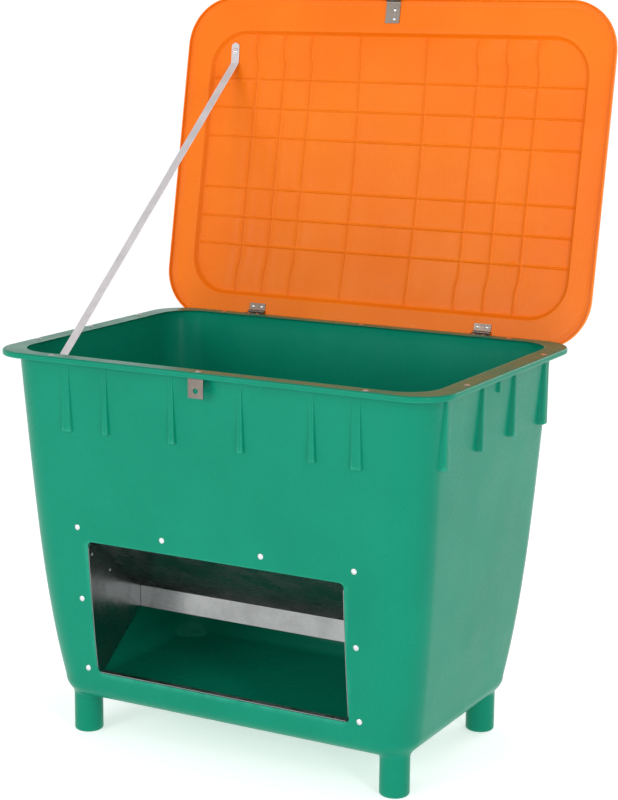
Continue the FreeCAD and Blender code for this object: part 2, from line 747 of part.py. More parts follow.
def make_window_rivets():
    shapes = []
    for x, z in window_rivet_places():
        face = inner_wall_y(z + size("rivet_head")) - size("wall") - size("seat_gap")
        back = inner_wall_y(z - size("rivet_tail")) + size("fit_gap") + size("sheet") + size("seat_gap")
        shapes.append(placed(big_rivet(back - face), (x, face, z), HEAD_FRONT))
    group("window_rivets", shapes)


def make_cheek_rivets():
    shapes = []
    inside = size("window_half_width") - 1.8 - size("sheet") / 2 - size("seat_gap")
    grip = 3.0 + size("sheet") / 2 + 2 * size("seat_gap")
    for y, z in cheek_rivet_places():
        shapes.append(placed(small_rivet(grip), (inside, y, z), HEAD_LEFT))
        shapes.append(placed(small_rivet(grip), (-inside, y, z), HEAD_RIGHT))
    group("cheek_rivets", shapes)


# ---------------------------------------------------------------- rim strips and lock staple

def strip(length, across, holes, turned):
    """Flat bar under the rim with a hole for each rivet; along X, or along Y when turned."""
    width, thick = size("strip_width"), size("strip_thick")
    x, y = (width, length) if turned else (length, width)
    top = size("rim_top") - size("rim_plate") - size("seat_gap")
    cx, cy = (across, 0.0) if turned else (0.0, across)
    bar = Part.makeBox(x, y, thick, Vector(cx - x / 2, cy - y / 2, top - thick))
    radius = size("rivet_shank") + size("hole_clearance")
    for hx, hy in holes:
        bar = bar.cut(Part.makeCylinder(radius, thick * 3, Vector(hx, hy, top - thick * 2)))
    return bar


def make_strips():
    """Stiffening bars under the rim, held by the rim rivets."""
    long_bar = 2 * (size("rim_half_length") - size("strip_end_gap"))
    short_bar = 2 * (size("rim_half_depth") - size("strip_end_gap"))
    x, y = rim_line("x"), rim_line("y")
    places = rim_rivet_places() + hinge_rivet_places()
    sides = [("front_rim_strip", -y, False), ("rear_rim_strip", y, False),
             ("left_rim_strip", -x, True), ("right_rim_strip", x, True)]
    for label, across, turned in sides:
        near = [p for p in places if abs(p[0 if turned else 1] - across) < 12]
        near = [p for p in near if abs(p[1 if turned else 0]) < 500]
        bar = strip(short_bar if turned else long_bar, across, near, turned)
        group(label, [bar])


def make_lock_staple():
    """Joggled plate riveted under the rim; its lower leg carries the padlock hole."""
    body = new_body("lock_staple")
    thick = size("staple_sheet")
    top = size("rim_top") - size("rim_plate") - size("strip_thick") - 3 * size("seat_gap")
    edge = -(size("rim_half_depth") - size("rim_plate") - 1.0)
    face = -size("rim_half_depth") + 0.5
    step = size("rim_top") - size("rim_lip_drop") - 1.0
    wall_end = -(size("rim_half_depth") - size("rib_reach_front") + 4.0)
    line = [(wall_end, top), (edge, top), (edge, step), (face, step), (face, size("rim_top") - size("staple_drop"))]
    pad_profile(body, "plate", thick_line(line, thick), "Sizes.lock_width", "Sizes.lock_x")
    hole_z = size("rim_top") - size("lock_hole_drop")
    drill(body, "padlock_hole", "XZ_Plane", [(size("lock_x"), hole_z)], "Sizes.lock_hole",
          "Sizes.rim_half_depth + 50", reverse=True)
    drill(body, "rivet_hole", "XY_Plane", [(size("lock_x"), -rim_line("y"))], RIVET_HOLE,
          "Sizes.rim_lip_drop", "Sizes.rim_top")
    stand_on_tub(body)


# ---------------------------------------------------------------- hinges

def barrel(spans, centre):
    """Knuckles along X over the given shares of the hinge's width."""
    width = size("leaf_width")
    shapes = []
    for start, end in spans:
        x = centre + width * (start - 0.5)
        shapes.append(Part.makeCylinder(size("knuckle"), width * (end - start), Vector(x, 0, 0), Vector(1, 0, 0)))
    return shapes


def hinge_leaf(centre, spans, reach, low, holes):
    """A flat leaf that runs from the axis towards -Y, with knuckles wrapped round the pin."""
    width, thick = size("leaf_width"), size("leaf")
    plate = Part.makeBox(width, reach - size("knuckle") - 0.6, thick, Vector(centre - width / 2, -reach, low))
    parts = barrel(spans, centre)
    for start, end in spans:
        x = centre + width * (start - 0.5)
        tongue = Part.makeBox(width * (end - start), size("knuckle") + 1.0, thick, Vector(x, -size("knuckle") - 1.0, low))
        parts.append(tongue)
    leaf = plate.multiFuse(parts).removeSplitter()
    bore = size("pin") + size("pin_gap")
    leaf = leaf.cut(Part.makeCylinder(bore, width * 1.2, Vector(centre - width * 0.6, 0, 0), Vector(1, 0, 0)))
    radius = size("rivet_shank") + size("hole_clearance")
    for x, y in holes:
        leaf = leaf.cut(Part.makeCylinder(radius, 20, Vector(x, y, -10)))
    return leaf


RIM_KNUCKLES = ((0.0, 0.19), (0.405, 0.595), (0.81, 1.0))
LID_KNUCKLES = ((0.2, 0.395), (0.605, 0.8))


def at_hinge(obj):
    """Leaves of the rim are drawn about the hinge axis too, but stay level."""
    obj.setExpression("Placement.Base.y", f"Sizes.tub_y + {HINGE_Y}")
    obj.setExpression("Placement.Base.z", HINGE_Z)


def lid_leaf_holes(centre):
    spread = size("leaf_width") * 0.27
    return [(centre - spread, -14.0), (centre + spread, -14.0)]


def make_hinges():
    for label, side in (("left", -1), ("right", 1)):
        centre = side * size("hinge_x")
        rim_holes = [(x, y - hinge_y()) for x, y in hinge_rivet_places() if x * side > 0]
        low = -size("knuckle") + size("seat_gap")
        rim_leaf = hinge_leaf(centre, RIM_KNUCKLES, size("leaf_on_rim"), low, rim_holes)
        group(f"{label}_hinge_rim_leaf", [rim_leaf], at_hinge)
        low = size("knuckle") - size("leaf")
        lid_leaf = hinge_leaf(centre, LID_KNUCKLES, size("leaf_on_lid"), low, lid_leaf_holes(centre))
        group(f"{label}_hinge_lid_leaf", [lid_leaf], hang_on_lid)
        pin = Part.makeCylinder(size("pin"), size("leaf_width") + 1.0,
                                Vector(centre - size("leaf_width") / 2 - 0.5, 0, 0), Vector(1, 0, 0))
        group(f"{label}_hinge_pin", [pin], at_hinge)


def make_hinge_rivets():
    gap = size("seat_gap")
    rim_top = size("rim_top") + size("leaf") + 2 * gap
    grip = size("leaf") + size("rim_plate") + size("strip_thick") + 4 * gap
    rim = [placed(big_rivet_small_head(grip), (x, y, rim_top), HEAD_UP) for x, y in hinge_rivet_places()]
    group("hinge_rim_rivets", rim)
    low = size("knuckle") - size("leaf") - gap
    grip = size("leaf") + size("lid_skin") + 4 * gap
    lid = []
    for side in (-1, 1):
        for x, y in lid_leaf_holes(side * size("hinge_x")):
            lid.append(placed(big_rivet_small_head(grip), (x, y, low), HEAD_DOWN))
    group("hinge_lid_rivets", lid, hang_on_lid)


def big_rivet_small_head(grip):
    return rivet(grip, size("rivet_shank"), size("small_head"), size("rivet_dome") * 0.5, size("rivet_tail") * 0.9)


# ---------------------------------------------------------------- the lid, drawn closed about the hinge axis

BAND_LOW = "(Sizes.knuckle + Sizes.seat_gap)"
BAND_TOP = f"({BAND_LOW} + Sizes.lid_skin)"
LID_SIDE = "(Sizes.rim_half_length + Sizes.lid_side_cover)"
LID_FRONT = "(Sizes.rim_half_depth * 2 + Sizes.hinge_behind_rim + Sizes.lid_front_cover)"


def band_low():
    return size("knuckle") + size("seat_gap")


def lid_outline(body, name, inset, height):
    sketch = new_sketch(body, name, offset=height)
    rounded_rectangle(sketch, f"{LID_SIDE} - {inset}", f"{LID_SIDE} - {inset}",
                      f"{LID_FRONT} - {inset}", f"Sizes.lid_rear_cover - {inset}", f"Sizes.lid_corner - {inset}")
    return sketch


def panel_outline(body, name, grow, height):
    sketch = new_sketch(body, name, offset=height)
    half = f"({LID_SIDE} - Sizes.panel_side_margin + {grow})"
    front = f"{LID_FRONT} - Sizes.panel_front_margin + {grow}"
    rear = f"Sizes.lid_rear_cover - Sizes.panel_rear_margin + {grow}"
    rounded_rectangle(sketch, half, half, front, rear, f"Sizes.panel_corner + {grow}")
    return sketch


def lid_screw_place():
    return size("strap_lid_x"), -size("strap_lid_reach")


def hasp_rivet_places():
    front = size("rim_half_depth") * 2 + size("hinge_behind_rim") + size("lid_front_cover")
    return [(size("lock_x") + 6.0, -(front - 30.0)), (size("lock_x") + 6.0, -(front - 55.0))]


def lid_rib_bars(body):
    """Low ribs under the raised panel, front to back and across."""
    half = size("lid_rib") / 2
    middle = size("lid_rib_middle")
    xs = [size(f"lid_rib_x{k}") for k in (1, 2, 3, 4)]
    ys = [size(f"lid_rib_y{k}") for k in (1, 2, 3)]
    roof = f"{BAND_LOW} + Sizes.panel_rise - Sizes.lid_rib_deep"
    long_ribs = new_sketch(body, "long_ribs", offset=roof)
    front = -(size("rim_half_depth") * 2 + size("hinge_behind_rim")) + size("panel_front_margin") + 5.0
    rear = size("lid_rear_cover") - size("panel_rear_margin") - 15.0
    for x in xs:
        for side in (-1, 1):
            polygon(long_ribs, box_points(side * x - half, side * x + half, front, rear))
    extrude(body, "Pad", long_ribs, "Sizes.lid_rib_deep + 1")
    cross_ribs = new_sketch(body, "cross_ribs", offset=roof)
    for y in ys:
        for side in (-1, 1):
            centre = -middle + side * y
            polygon(cross_ribs, box_points(-xs[3], xs[3], centre - half, centre + half))
    extrude(body, "Pad", cross_ribs, "Sizes.lid_rib_deep + 1")


def make_lid():
    """Moulded lid: flat band with a turned-down lip, and a raised ribbed panel inside the band."""
    body = new_body("lid")
    outer = lid_outline(body, "outer", "0", f"{BAND_LOW} - Sizes.lid_lip_drop")
    pad = extrude(body, "Pad", outer, "Sizes.lid_lip_drop + Sizes.lid_skin")
    round_edges(body, pad, "Sizes.lid_shoulder", all_at_height(band_low() + size("lid_skin")))
    inner = lid_outline(body, "inner", "Sizes.lid_skin", BAND_LOW)
    pocket = extrude(body, "Pocket", inner, "Sizes.lid_lip_drop + 1")
    round_edges(body, pocket, "Sizes.lid_shoulder - Sizes.lid_skin", all_at_height(band_low()))
    low = panel_outline(body, "panel_low", "Sizes.lid_skin", f"{BAND_TOP} - 1")
    high = panel_outline(body, "panel_high", "Sizes.lid_skin - Sizes.panel_draft", f"{BAND_TOP} + Sizes.panel_rise")
    loft(body, "AdditiveLoft", "panel_outside", [low, high])
    mouth = panel_outline(body, "panel_mouth", "0.5", f"{BAND_LOW} - 1")
    roof = panel_outline(body, "panel_roof", "-Sizes.panel_draft", f"{BAND_LOW} + Sizes.panel_rise")
    loft(body, "SubtractiveLoft", "panel_inside", [mouth, roof])
    lid_rib_bars(body)
    places = lid_leaf_holes(size("hinge_x")) + lid_leaf_holes(-size("hinge_x")) + hasp_rivet_places()
    drill(body, "fixing_holes", "XY_Plane", places + [lid_screw_place()], RIVET_HOLE, "60", "50")
    hang_on_lid(body)


def make_hasp():
    """Folded plate riveted under the lid's front edge; its flap hangs over the staple."""
    body = new_body("hasp_plate")
    thick = size("hasp_sheet")
    front = -(size("rim_half_depth") * 2 + size("hinge_behind_rim")) - size("lid_front_cover") + size("lid_skin") + 1.0
    top = band_low() - size("seat_gap")
    line = bend([(front + size("hasp_reach"), top), (front, top), (front, top - size("hasp_drop"))], size("hasp_bend"))
    pad_profile(body, "plate", thick_line(line, thick), "Sizes.lock_width", "Sizes.lock_x")
    hole_z = size("rim_top") - size("lock_hole_drop") - hinge_z()
    drill(body, "padlock_hole", "XZ_Plane", [(size("lock_x"), hole_z)], "Sizes.lock_hole", "1000", reverse=True)
    drill(body, "rivet_holes", "XY_Plane", hasp_rivet_places(), RIVET_HOLE, "60", "50")
    hang_on_lid(body)
    low = top - thick - size("seat_gap")
    grip = thick + size("lid_skin") + 4 * size("seat_gap")
    rivets = [placed(big_rivet_small_head(grip), (x, y, low), HEAD_DOWN) for x, y in hasp_rivet_places()]
    group("hasp_rivets", rivets, hang_on_lid)


# ---------------------------------------------------------------- stay strap

def opened(x, y, z):
    """A point of the closed lid, about the hinge axis, moved to its place about the open tub."""
    turn = Rotation(Vector(1, 0, 0), -size("lid_open_angle"))
    return turn.multVec(Vector(x, y, z)) + Vector(0, hinge_y(), hinge_z())


def strap_points():
    """Middle line of the strap: flat tab on the lid, straight run, flat tab on the front wall."""
    x, y = lid_screw_place()
    floor = band_low() + size("panel_rise") - size("strap_gap") - size("strap_thick") / 2
    lean = (size("strap_tub_x") - size("strap_lid_x")) / 1260.0
    lid_end = opened(x - lean * size("strap_end"), y - size("strap_end"), floor)
    lid_bend = opened(x + lean * size("strap_lid_tab"), y + size("strap_lid_tab"), floor)
    wall_z = size("rim_top") - size("strap_tub_drop")
    wall_x = size("strap_tub_x")
    tab = size("strap_tub_tab")
    wall_gap = size("strap_gap") + size("strap_thick") / 2
    wall_bend = Vector(wall_x, inner_wall_y(wall_z) + wall_gap, wall_z + tab)
    wall_end = Vector(wall_x, inner_wall_y(wall_z - tab) + wall_gap, wall_z - tab)
    return lid_end, lid_bend, wall_bend, wall_end


def make_strap():
    """Flat webbing that stops the lid just past upright; it folds as the lid closes."""
    points = strap_points()
    run = (points[1] - points[2]).normalize()
    across = Vector(1, 0, 0) - run * run.x
    across.normalize()
    normal = run.cross(across)
    flat = [p - across * across.dot(p - points[1]) for p in points]
    thick, width = size("strap_thick"), size("strap_width")
    local = [((p - points[1]).dot(run), (p - points[1]).dot(normal)) for p in flat]
    outline = thick_line(local, thick)
    corner = points[1] - across * (width / 2)
    wire = Part.makePolygon([corner + run * a + normal * (b + thick / 2) for a, b in outline + outline[:1]])
    webbing = Part.Face(wire).extrude(across * width)
    for place, axis in strap_screw_axes():
        webbing = webbing.cut(Part.makeCylinder(size("rivet_shank") + 1.0, 60, place - axis * 30, axis))
    group("strap", [webbing])


def strap_screw_axes():
    """Middle of each strap screw and the way its head faces."""
    x, y = lid_screw_place()
    lid_face = opened(x, y, band_low() + size("panel_rise"))
    lid_axis = Rotation(Vector(1, 0, 0), -size("lid_open_angle")).multVec(Vector(0, 0, -1))
    wall_z = size("rim_top") - size("strap_tub_drop")
    return [(lid_face, lid_axis), (Vector(size("strap_tub_x"), inner_wall_y(wall_z), wall_z), Vector(0, 1, 0))]


def make_strap_fixings():
    """A screw through a cup washer at each end of the strap."""
    stack = 2 * size("strap_gap") + size("strap_thick")
    hole = size("rivet_shank") + size("hole_clearance")
    washer = Part.makeCone(size("washer"), size("washer") * 0.8, size("washer_thick"))
    washer = washer.cut(Part.makeCylinder(hole, 10, Vector(0, 0, -5)))
    x, y = lid_screw_place()
    floor = band_low() + size("panel_rise")
    gap = size("seat_gap")
    lid_grip = stack + size("washer_thick") + size("lid_skin") + 2 * gap
    group("strap_lid_washer", [placed(washer, (x, y, floor - stack), HEAD_DOWN)], hang_on_lid)
    lid_screw = rivet(lid_grip, size("rivet_shank"), size("small_head") * 1.2, 3.0, size("rivet_tail"))
    screw_low = floor - stack - size("washer_thick") - gap
    group("strap_lid_screw", [placed(lid_screw, (x, y, screw_low), HEAD_DOWN)], hang_on_lid)
    wall_z = size("rim_top") - size("strap_tub_drop")
    wall_y = inner_wall_y(wall_z)
    turn = Rotation(Vector(1, 0, 0), -90)
    lift = 1.0
    group("strap_tub_washer", [placed(washer, (size("strap_tub_x"), wall_y + stack + lift, wall_z), turn)])
    tub_grip = stack + lift + size("washer_thick") + size("wall") - size("rivet_tail_length") - 1.5
    tub_screw = rivet(tub_grip, size("rivet_shank"), size("small_head") * 1.2, 3.0, size("rivet_shank") * 0.9)
    screw_y = wall_y + stack + lift + size("washer_thick") + gap
    group("strap_tub_screw", [placed(tub_screw, (size("strap_tub_x"), screw_y, wall_z), turn)])


# ---------------------------------------------------------------- build, check and write

make_tub()
make_strips()
make_rim_rivets()
make_lock_staple()
make_feed_hood()
make_cheek("left_cheek", -1)
make_cheek("right_cheek", 1)
make_sill_strip()
make_window_rivets()
make_cheek_rivets()
make_hinges()
make_hinge_rivets()
make_lid()
make_hasp()
make_strap()
make_strap_fixings()
doc.recompute()

for obj in doc.Objects:
    if "Invalid" in obj.State or "Error" in obj.State:
        raise RuntimeError(f"{obj.Label} did not recompute: {obj.State}")

os.makedirs("parts", exist_ok=True)
for obj in NODES:
    if obj.Shape.isNull() or not obj.Shape.isValid() or not obj.Shape.Solids:
        raise RuntimeError(f"{obj.Label} has no valid solid")
    obj.Shape.exportStep(f"parts/{obj.Label}.step")
    box = obj.Shape.BoundBox
    print(f"{obj.Label}: {len(obj.Shape.Solids)} solids, {obj.Shape.Volume:.0f} mm3, "
          f"x {box.XMin:.1f}..{box.XMax:.1f} y {box.YMin:.1f}..{box.YMax:.1f} z {box.ZMin:.1f}..{box.ZMax:.1f}")
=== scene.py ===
"""Looks of a gravity game feeder: a green moulded tub on four legs with an open orange lid.

Lengths are metres in the frame of the solids: +Z up, the feeding window faces -Y, the floor is z = 0.
"""

import json
import math

import bmesh
import bpy
import numpy as np
from mathutils import Matrix, Vector


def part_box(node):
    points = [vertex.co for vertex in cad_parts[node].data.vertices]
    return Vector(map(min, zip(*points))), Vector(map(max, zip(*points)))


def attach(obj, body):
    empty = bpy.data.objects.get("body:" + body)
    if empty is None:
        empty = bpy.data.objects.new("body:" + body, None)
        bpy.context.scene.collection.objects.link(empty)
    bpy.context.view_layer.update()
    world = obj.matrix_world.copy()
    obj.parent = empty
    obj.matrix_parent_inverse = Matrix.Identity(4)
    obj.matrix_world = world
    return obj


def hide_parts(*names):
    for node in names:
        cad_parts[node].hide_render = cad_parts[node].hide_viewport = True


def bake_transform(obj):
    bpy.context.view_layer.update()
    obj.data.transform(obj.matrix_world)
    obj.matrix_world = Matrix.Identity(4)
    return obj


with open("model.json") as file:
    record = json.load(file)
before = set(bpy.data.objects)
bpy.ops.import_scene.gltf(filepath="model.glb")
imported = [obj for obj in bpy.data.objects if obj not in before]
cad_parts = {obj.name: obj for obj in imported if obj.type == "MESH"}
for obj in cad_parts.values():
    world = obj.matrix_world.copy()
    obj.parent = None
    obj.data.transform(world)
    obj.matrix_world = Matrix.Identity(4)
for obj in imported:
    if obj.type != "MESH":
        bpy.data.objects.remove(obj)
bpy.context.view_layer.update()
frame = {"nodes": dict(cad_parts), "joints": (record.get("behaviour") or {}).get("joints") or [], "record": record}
nodes = frame["nodes"]
hinge = frame["joints"][0]

MM = 0.001

# ---------------------------------------------------------------- places read from the solids

tub_low, tub_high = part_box("tub")
RIM_HALF_LENGTH = (tub_high.x - tub_low.x) / 2
RIM_HALF_DEPTH = (tub_high.y - tub_low.y) / 2
TUB_Y = (tub_high.y + tub_low.y) / 2
RIM_TOP = tub_high.z
HINGE_Y, HINGE_Z = hinge["pos_m"][1], hinge["pos_m"][2]
LID_OPEN = math.radians(hinge["range_deg"][1])

# ---------------------------------------------------------------- sizes of the mouldings

WALL = 5 * MM
WALL_RADIUS = 95 * MM
RIM_RADIUS = 100 * MM
RIM_PLATE = 4.5 * MM
RIM_DROP = 14 * MM
OVER_SIDE = 38 * MM
OVER_FRONT = 27 * MM
TAPER = 50 * MM
CURL = 24 * MM
BASE = 108 * MM
BASE_ROUND = 50 * MM
LEG_RADIUS = 38.3 * MM
LEG_X, LEG_Y = 457.5 * MM, 261 * MM
LEG_FLARE = 13 * MM
WINDOW_HALF = 371 * MM
WINDOW_LOW, WINDOW_HIGH = 194 * MM, 559 * MM
RIB_FOOT = 851 * MM

LID_HALF = 656 * MM
LID_FRONT = 895 * MM
LID_REAR = 30 * MM
LID_RADIUS = 139 * MM
LID_SKIN = 4 * MM
LID_LIP = 12.5 * MM
BAND = 3.85 * MM
PANEL_HALF = 581 * MM
PANEL_FRONT = LID_FRONT - 95 * MM
PANEL_REAR = LID_REAR - 75 * MM
PANEL_RADIUS = 110 * MM
PANEL_RISE = 16 * MM
PANEL_DRAFT = 9 * MM


# ---------------------------------------------------------------- meshes from grids

def grid_faces(rows, columns, close_rows=False, close_columns=False):
    """Quads of a grid of rows by columns; a closed direction joins its last line to its first."""
    i = np.arange(rows if close_rows else rows - 1)
    j = np.arange(columns if close_columns else columns - 1)
    i, j = np.meshgrid(i, j, indexing="ij")
    i2, j2 = (i + 1) % rows, (j + 1) % columns
    quads = np.stack([i * columns + j, i2 * columns + j, i2 * columns + j2, i * columns + j2], -1)
    return quads.reshape(-1, 4)


def new_mesh(name, points, faces, sharp=32.0, outward=True):
    """A mesh object from an array of points and a list of faces; edges above the angle stay crisp."""
    mesh = bpy.data.meshes.new(name)
    mesh.from_pydata(np.asarray(points, float).reshape(-1, 3).tolist(), [], [list(f) for f in faces])
    if outward:
        work = bmesh.new()
        work.from_mesh(mesh)
        bmesh.ops.recalc_face_normals(work, faces=work.faces)
        work.to_mesh(mesh)
        work.free()
    mesh.shade_smooth()
    mesh.set_sharp_from_angle(angle=math.radians(sharp))
    obj = bpy.data.objects.new(name, mesh)
    bpy.context.scene.collection.objects.link(obj)
    return obj


def join_grids(name, grids, sharp=32.0):
    """One object from several closed grids, each given as points and faces."""
    points, faces, first = [], [], 0
    for grid_points, quads in grids:
        points.append(np.asarray(grid_points, float).reshape(-1, 3))
        faces += [[first + k for k in quad] for quad in quads]
        first += len(points[-1])
    return new_mesh(name, np.concatenate(points), faces, sharp)


def ring_path(arc_steps, long_steps, short_steps):
    """Parameters of a rounded rectangle: for each sample two corners with a direction, and a blend."""
    corners = np.array([(1, 1), (-1, 1), (-1, -1), (1, -1)], float)
    samples = []
    for k in range(4):
        angles = math.radians(90 * k) + np.linspace(0, math.pi / 2, arc_steps + 1)
        for angle in angles:
            samples.append((k, angle, k, angle, 0.0))
        steps = long_steps if k % 2 == 0 else short_steps
        for t in np.linspace(0, 1, steps + 1)[1:-1]:
            samples.append((k, angles[-1], (k + 1) % 4, angles[-1], t))
    table = np.array(samples)
    return corners[table[:, 0].astype(int)], table[:, 1], corners[table[:, 2].astype(int)], table[:, 4]


def rings(path, half_length, half_depth, radius):
    """Rounded rectangles, one row for each entry of the size arrays.

    A point is its corner's centre plus the radius times a direction.
    """
    first, angle, second, blend = path
    direction = np.stack([np.cos(angle), np.sin(angle)], -1)[None]
    inset = np.stack([half_length - radius, half_depth - radius], -1)[:, None]
    reach = radius[:, None, None] * direction
    a = first[None] * inset + reach
    b = second[None] * inset + reach
    return a * (1 - blend[None, :, None]) + b * blend[None, :, None]


def carried(profile, path, centre_y):
    """A profile of (half length, half depth, radius, z) rows carried round a rounded rectangle."""
    half_length, half_depth, radius, z = np.array(profile).T
    flat = rings(path, half_length, half_depth, radius)
    z = np.broadcast_to(z[:, None, None], flat.shape[:2] + (1,))
    points = np.concatenate([flat, z], -1)
    points[..., 1] += centre_y
    return points


def arc(centre, radius, start, end, steps):
    """Points (u, v) of an arc about a centre, angles in degrees."""
    angles = np.radians(np.linspace(start, end, steps))
    return [(centre[0] + radius * math.cos(a), centre[1] + radius * math.sin(a)) for a in angles]


# ---------------------------------------------------------------- the tub

def wall_inset(z):
    """Lean of the wall: taper * s + curl * s^4, where s runs from 0 at the rim to 1 at the turn."""
    turn = BASE + BASE_ROUND
    share = np.clip((RIM_TOP - RIM_DROP - z) / (RIM_TOP - RIM_DROP - turn), 0, 1)
    return TAPER * share + CURL * share ** 4


def wall_rows(skin, top, steps):
    """Profile rows of the wall from the top down to the base, at a depth inside the outer face."""
    turn = BASE + BASE_ROUND
    rows = []
    for z in np.linspace(top, turn, steps):
        inset = wall_inset(z) + skin
        rows.append((inset, z, WALL_RADIUS - skin))
    under = BASE_ROUND - skin
    for angle in np.radians(np.linspace(0, 90, 13)[1:]):
        inset = TAPER + CURL + skin + under * (1 - math.cos(angle))
        rows.append((inset, turn - under * math.sin(angle), WALL_RADIUS - skin - under * (1 - math.cos(angle))))
    return [(RIM_HALF_LENGTH - OVER_SIDE - i, RIM_HALF_DEPTH - OVER_FRONT - i, r, z) for i, z, r in rows]


def rim_row(inset, z):
    """A profile row of the rim at a distance in from its edge."""
    return RIM_HALF_LENGTH - inset, RIM_HALF_DEPTH - inset, RIM_RADIUS - inset, z


def tub_profile():
    """Closed section: outer floor, outer wall, underside and edge of the rim, flat top, inner wall, floor."""
    outer = wall_rows(0.0, RIM_TOP - 13 * MM, 44)[::-1]
    inner = wall_rows(WALL, RIM_TOP - 9 * MM, 40)
    under = RIM_TOP - RIM_PLATE
    length, depth = outer[-1][0], outer[-1][1]
    fillet = 8 * MM
    root = []
    for angle in np.radians(np.linspace(0, 90, 7)[1:]):
        out = fillet * (1 - math.cos(angle))
        root.append((length + out, depth + out, WALL_RADIUS + out, under - fillet + fillet * math.sin(angle)))
    foot = RIM_TOP - RIM_DROP
    lip = [rim_row(RIM_PLATE + 1 * MM, under), rim_row(RIM_PLATE, under - 1 * MM)]
    lip += [rim_row(RIM_PLATE, foot + 1.2 * MM)]
    lip += [rim_row(RIM_PLATE / 2 - u, z) for u, z in arc((0, foot + 1.6 * MM), RIM_PLATE / 2, 200, 340, 7)]
    lip += [rim_row(0.0, foot + 3 * MM), rim_row(0.0, RIM_TOP - 5 * MM)]
    lip += [rim_row(5 * MM - u, z) for u, z in arc((0, RIM_TOP - 5 * MM), 5 * MM, 0, 90, 8)[1:]]
    crest_length, crest_depth, crest_radius, top_z = inner[0]
    rounding = 9 * MM
    mouth = []
    for angle in np.radians(np.linspace(90, 0, 9)):
        shift = rounding * (1 - math.cos(angle))
        height = top_z + rounding * math.sin(angle)
        mouth.append((crest_length - shift, crest_depth - shift, crest_radius, height))
    middle = [(0.25, 0.12, 0.06, inner[-1][3]), (0.06, 0.04, 0.03, inner[-1][3])]
    outside = [(0.06, 0.04, 0.03, outer[0][3]), (0.25, 0.12, 0.06, outer[0][3])]
    return outside + outer + root + lip + rim_flat(mouth[0]) + mouth + inner[1:] + middle


def rim_flat(crest):
    """Rows across the flat top of the rim, from its rounded edge to the mouth."""
    start = rim_row(5 * MM, RIM_TOP)
    rows = []
    for t in (0.12, 0.3, 0.5, 0.7, 0.88):
        rows.append(tuple(a * (1 - t) + b * t for a, b in zip(start, crest)))
    return rows


def window_cutter():
    """A slab through the front wall with rounded corners: the outline carried along Y."""
    radius = 13 * MM
    path = ring_path(8, 2, 2)
    height = (WINDOW_HIGH - WINDOW_LOW) / 2
    flat = rings(path, np.array([WINDOW_HALF] * 2), np.array([height] * 2), np.array([radius] * 2))
    y = np.array([-RIM_HALF_DEPTH - 0.05, -0.2]) + TUB_Y
    points = np.stack([flat[..., 0], np.broadcast_to(y[:, None], flat.shape[:2]),
                       flat[..., 1] + (WINDOW_HIGH + WINDOW_LOW) / 2], -1)
    count = flat.shape[1]
    faces = grid_faces(2, count, close_columns=True).tolist()
    faces += [list(range(count)), list(range(count, 2 * count))]
    return new_mesh("window_cutter", points, faces)


def make_tub():
    path = ring_path(22, 56, 36)
    points = carried(tub_profile(), path, TUB_Y)
    rows, columns = points.shape[:2]
    faces = grid_faces(rows, columns, close_columns=True).tolist()
    faces += [list(range(columns)), list(range((rows - 1) * columns, rows * columns))]
    tub = new_mesh("tub_moulding", points, faces)
    cutter = window_cutter()
    cut = tub.modifiers.new("window", "BOOLEAN")
    cut.object = cutter
    cut.operation = "DIFFERENCE"
    cut.solver = "EXACT"
    depsgraph = bpy.context.evaluated_depsgraph_get()
    finished = bpy.data.meshes.new_from_object(tub.evaluated_get(depsgraph))
    tub.modifiers.clear()
    tub.data = finished
    bpy.data.objects.remove(cutter)
    finished.shade_smooth()
    finished.set_sharp_from_angle(angle=math.radians(32))
    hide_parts("tub")
    return tub


def rib_grid(along, side, facing, top_half, foot, flare):
    """An upright fin: its outer face is plumb at the reach of the ribs, its flanks flare to the leaning wall.

    Rows run down the wall; columns run over the fin: wall, flank, rounded nose, flank, wall.
    """
    reach = RIM_HALF_DEPTH - OVER_FRONT if facing == "y" else RIM_HALF_LENGTH - OVER_SIDE + 5 * MM
    nose = 1.8 * MM
    z = np.concatenate([np.linspace(RIM_TOP - 9 * MM, foot, 26), foot - 1.5 * MM * np.linspace(0, 1, 4)[1:]])
    fade = np.ones_like(z)
    fade[-3:] = (0.93, 0.75, 0.0)
    wall = (RIM_HALF_DEPTH - OVER_FRONT if facing == "y" else RIM_HALF_LENGTH - OVER_SIDE) - wall_inset(z)
    depth = np.maximum(reach - wall, 0.2 * MM) * fade
    width = top_half + 0.0 * z
    base = width + flare * np.clip(depth / (20 * MM), 0, 1.4)
    columns = []
    flank = ((-1.25, -0.25), (-1.12, -0.04), (-1.0, 0.03), (-0.8, 0.3), (-0.5, 0.7), (-0.2, 0.93))
    for across, height in flank:
        columns.append((base * across if across < -0.99 else -(width + (base - width) * -across), height))
    left = list(columns)
    left.append((-(width - nose * 0.7), 0.985))
    left.append((-(width - nose * 2.2), 1.0))
    right = [(-c, h) for c, h in left[::-1]]
    shape = left + [(0.0 * width, 1.0)] + right
    u = np.stack([c for c, _ in shape], -1)
    h = np.array([h for _, h in shape])[None]
    out = wall[:, None] + depth[:, None] * h
    out = np.where(h < 0, wall[:, None] - 3 * MM, out)
    z = np.broadcast_to(z[:, None], u.shape)
    if facing == "y":
        points = np.stack([u + along, side * out + TUB_Y, z], -1)
    else:
        points = np.stack([side * out, u + along + TUB_Y, z], -1)
    rows, count = u.shape
    faces = grid_faces(rows, count, close_columns=True).tolist()
    faces += [list(range(count)), list(range((rows - 1) * count, rows * count))]
    return points, faces


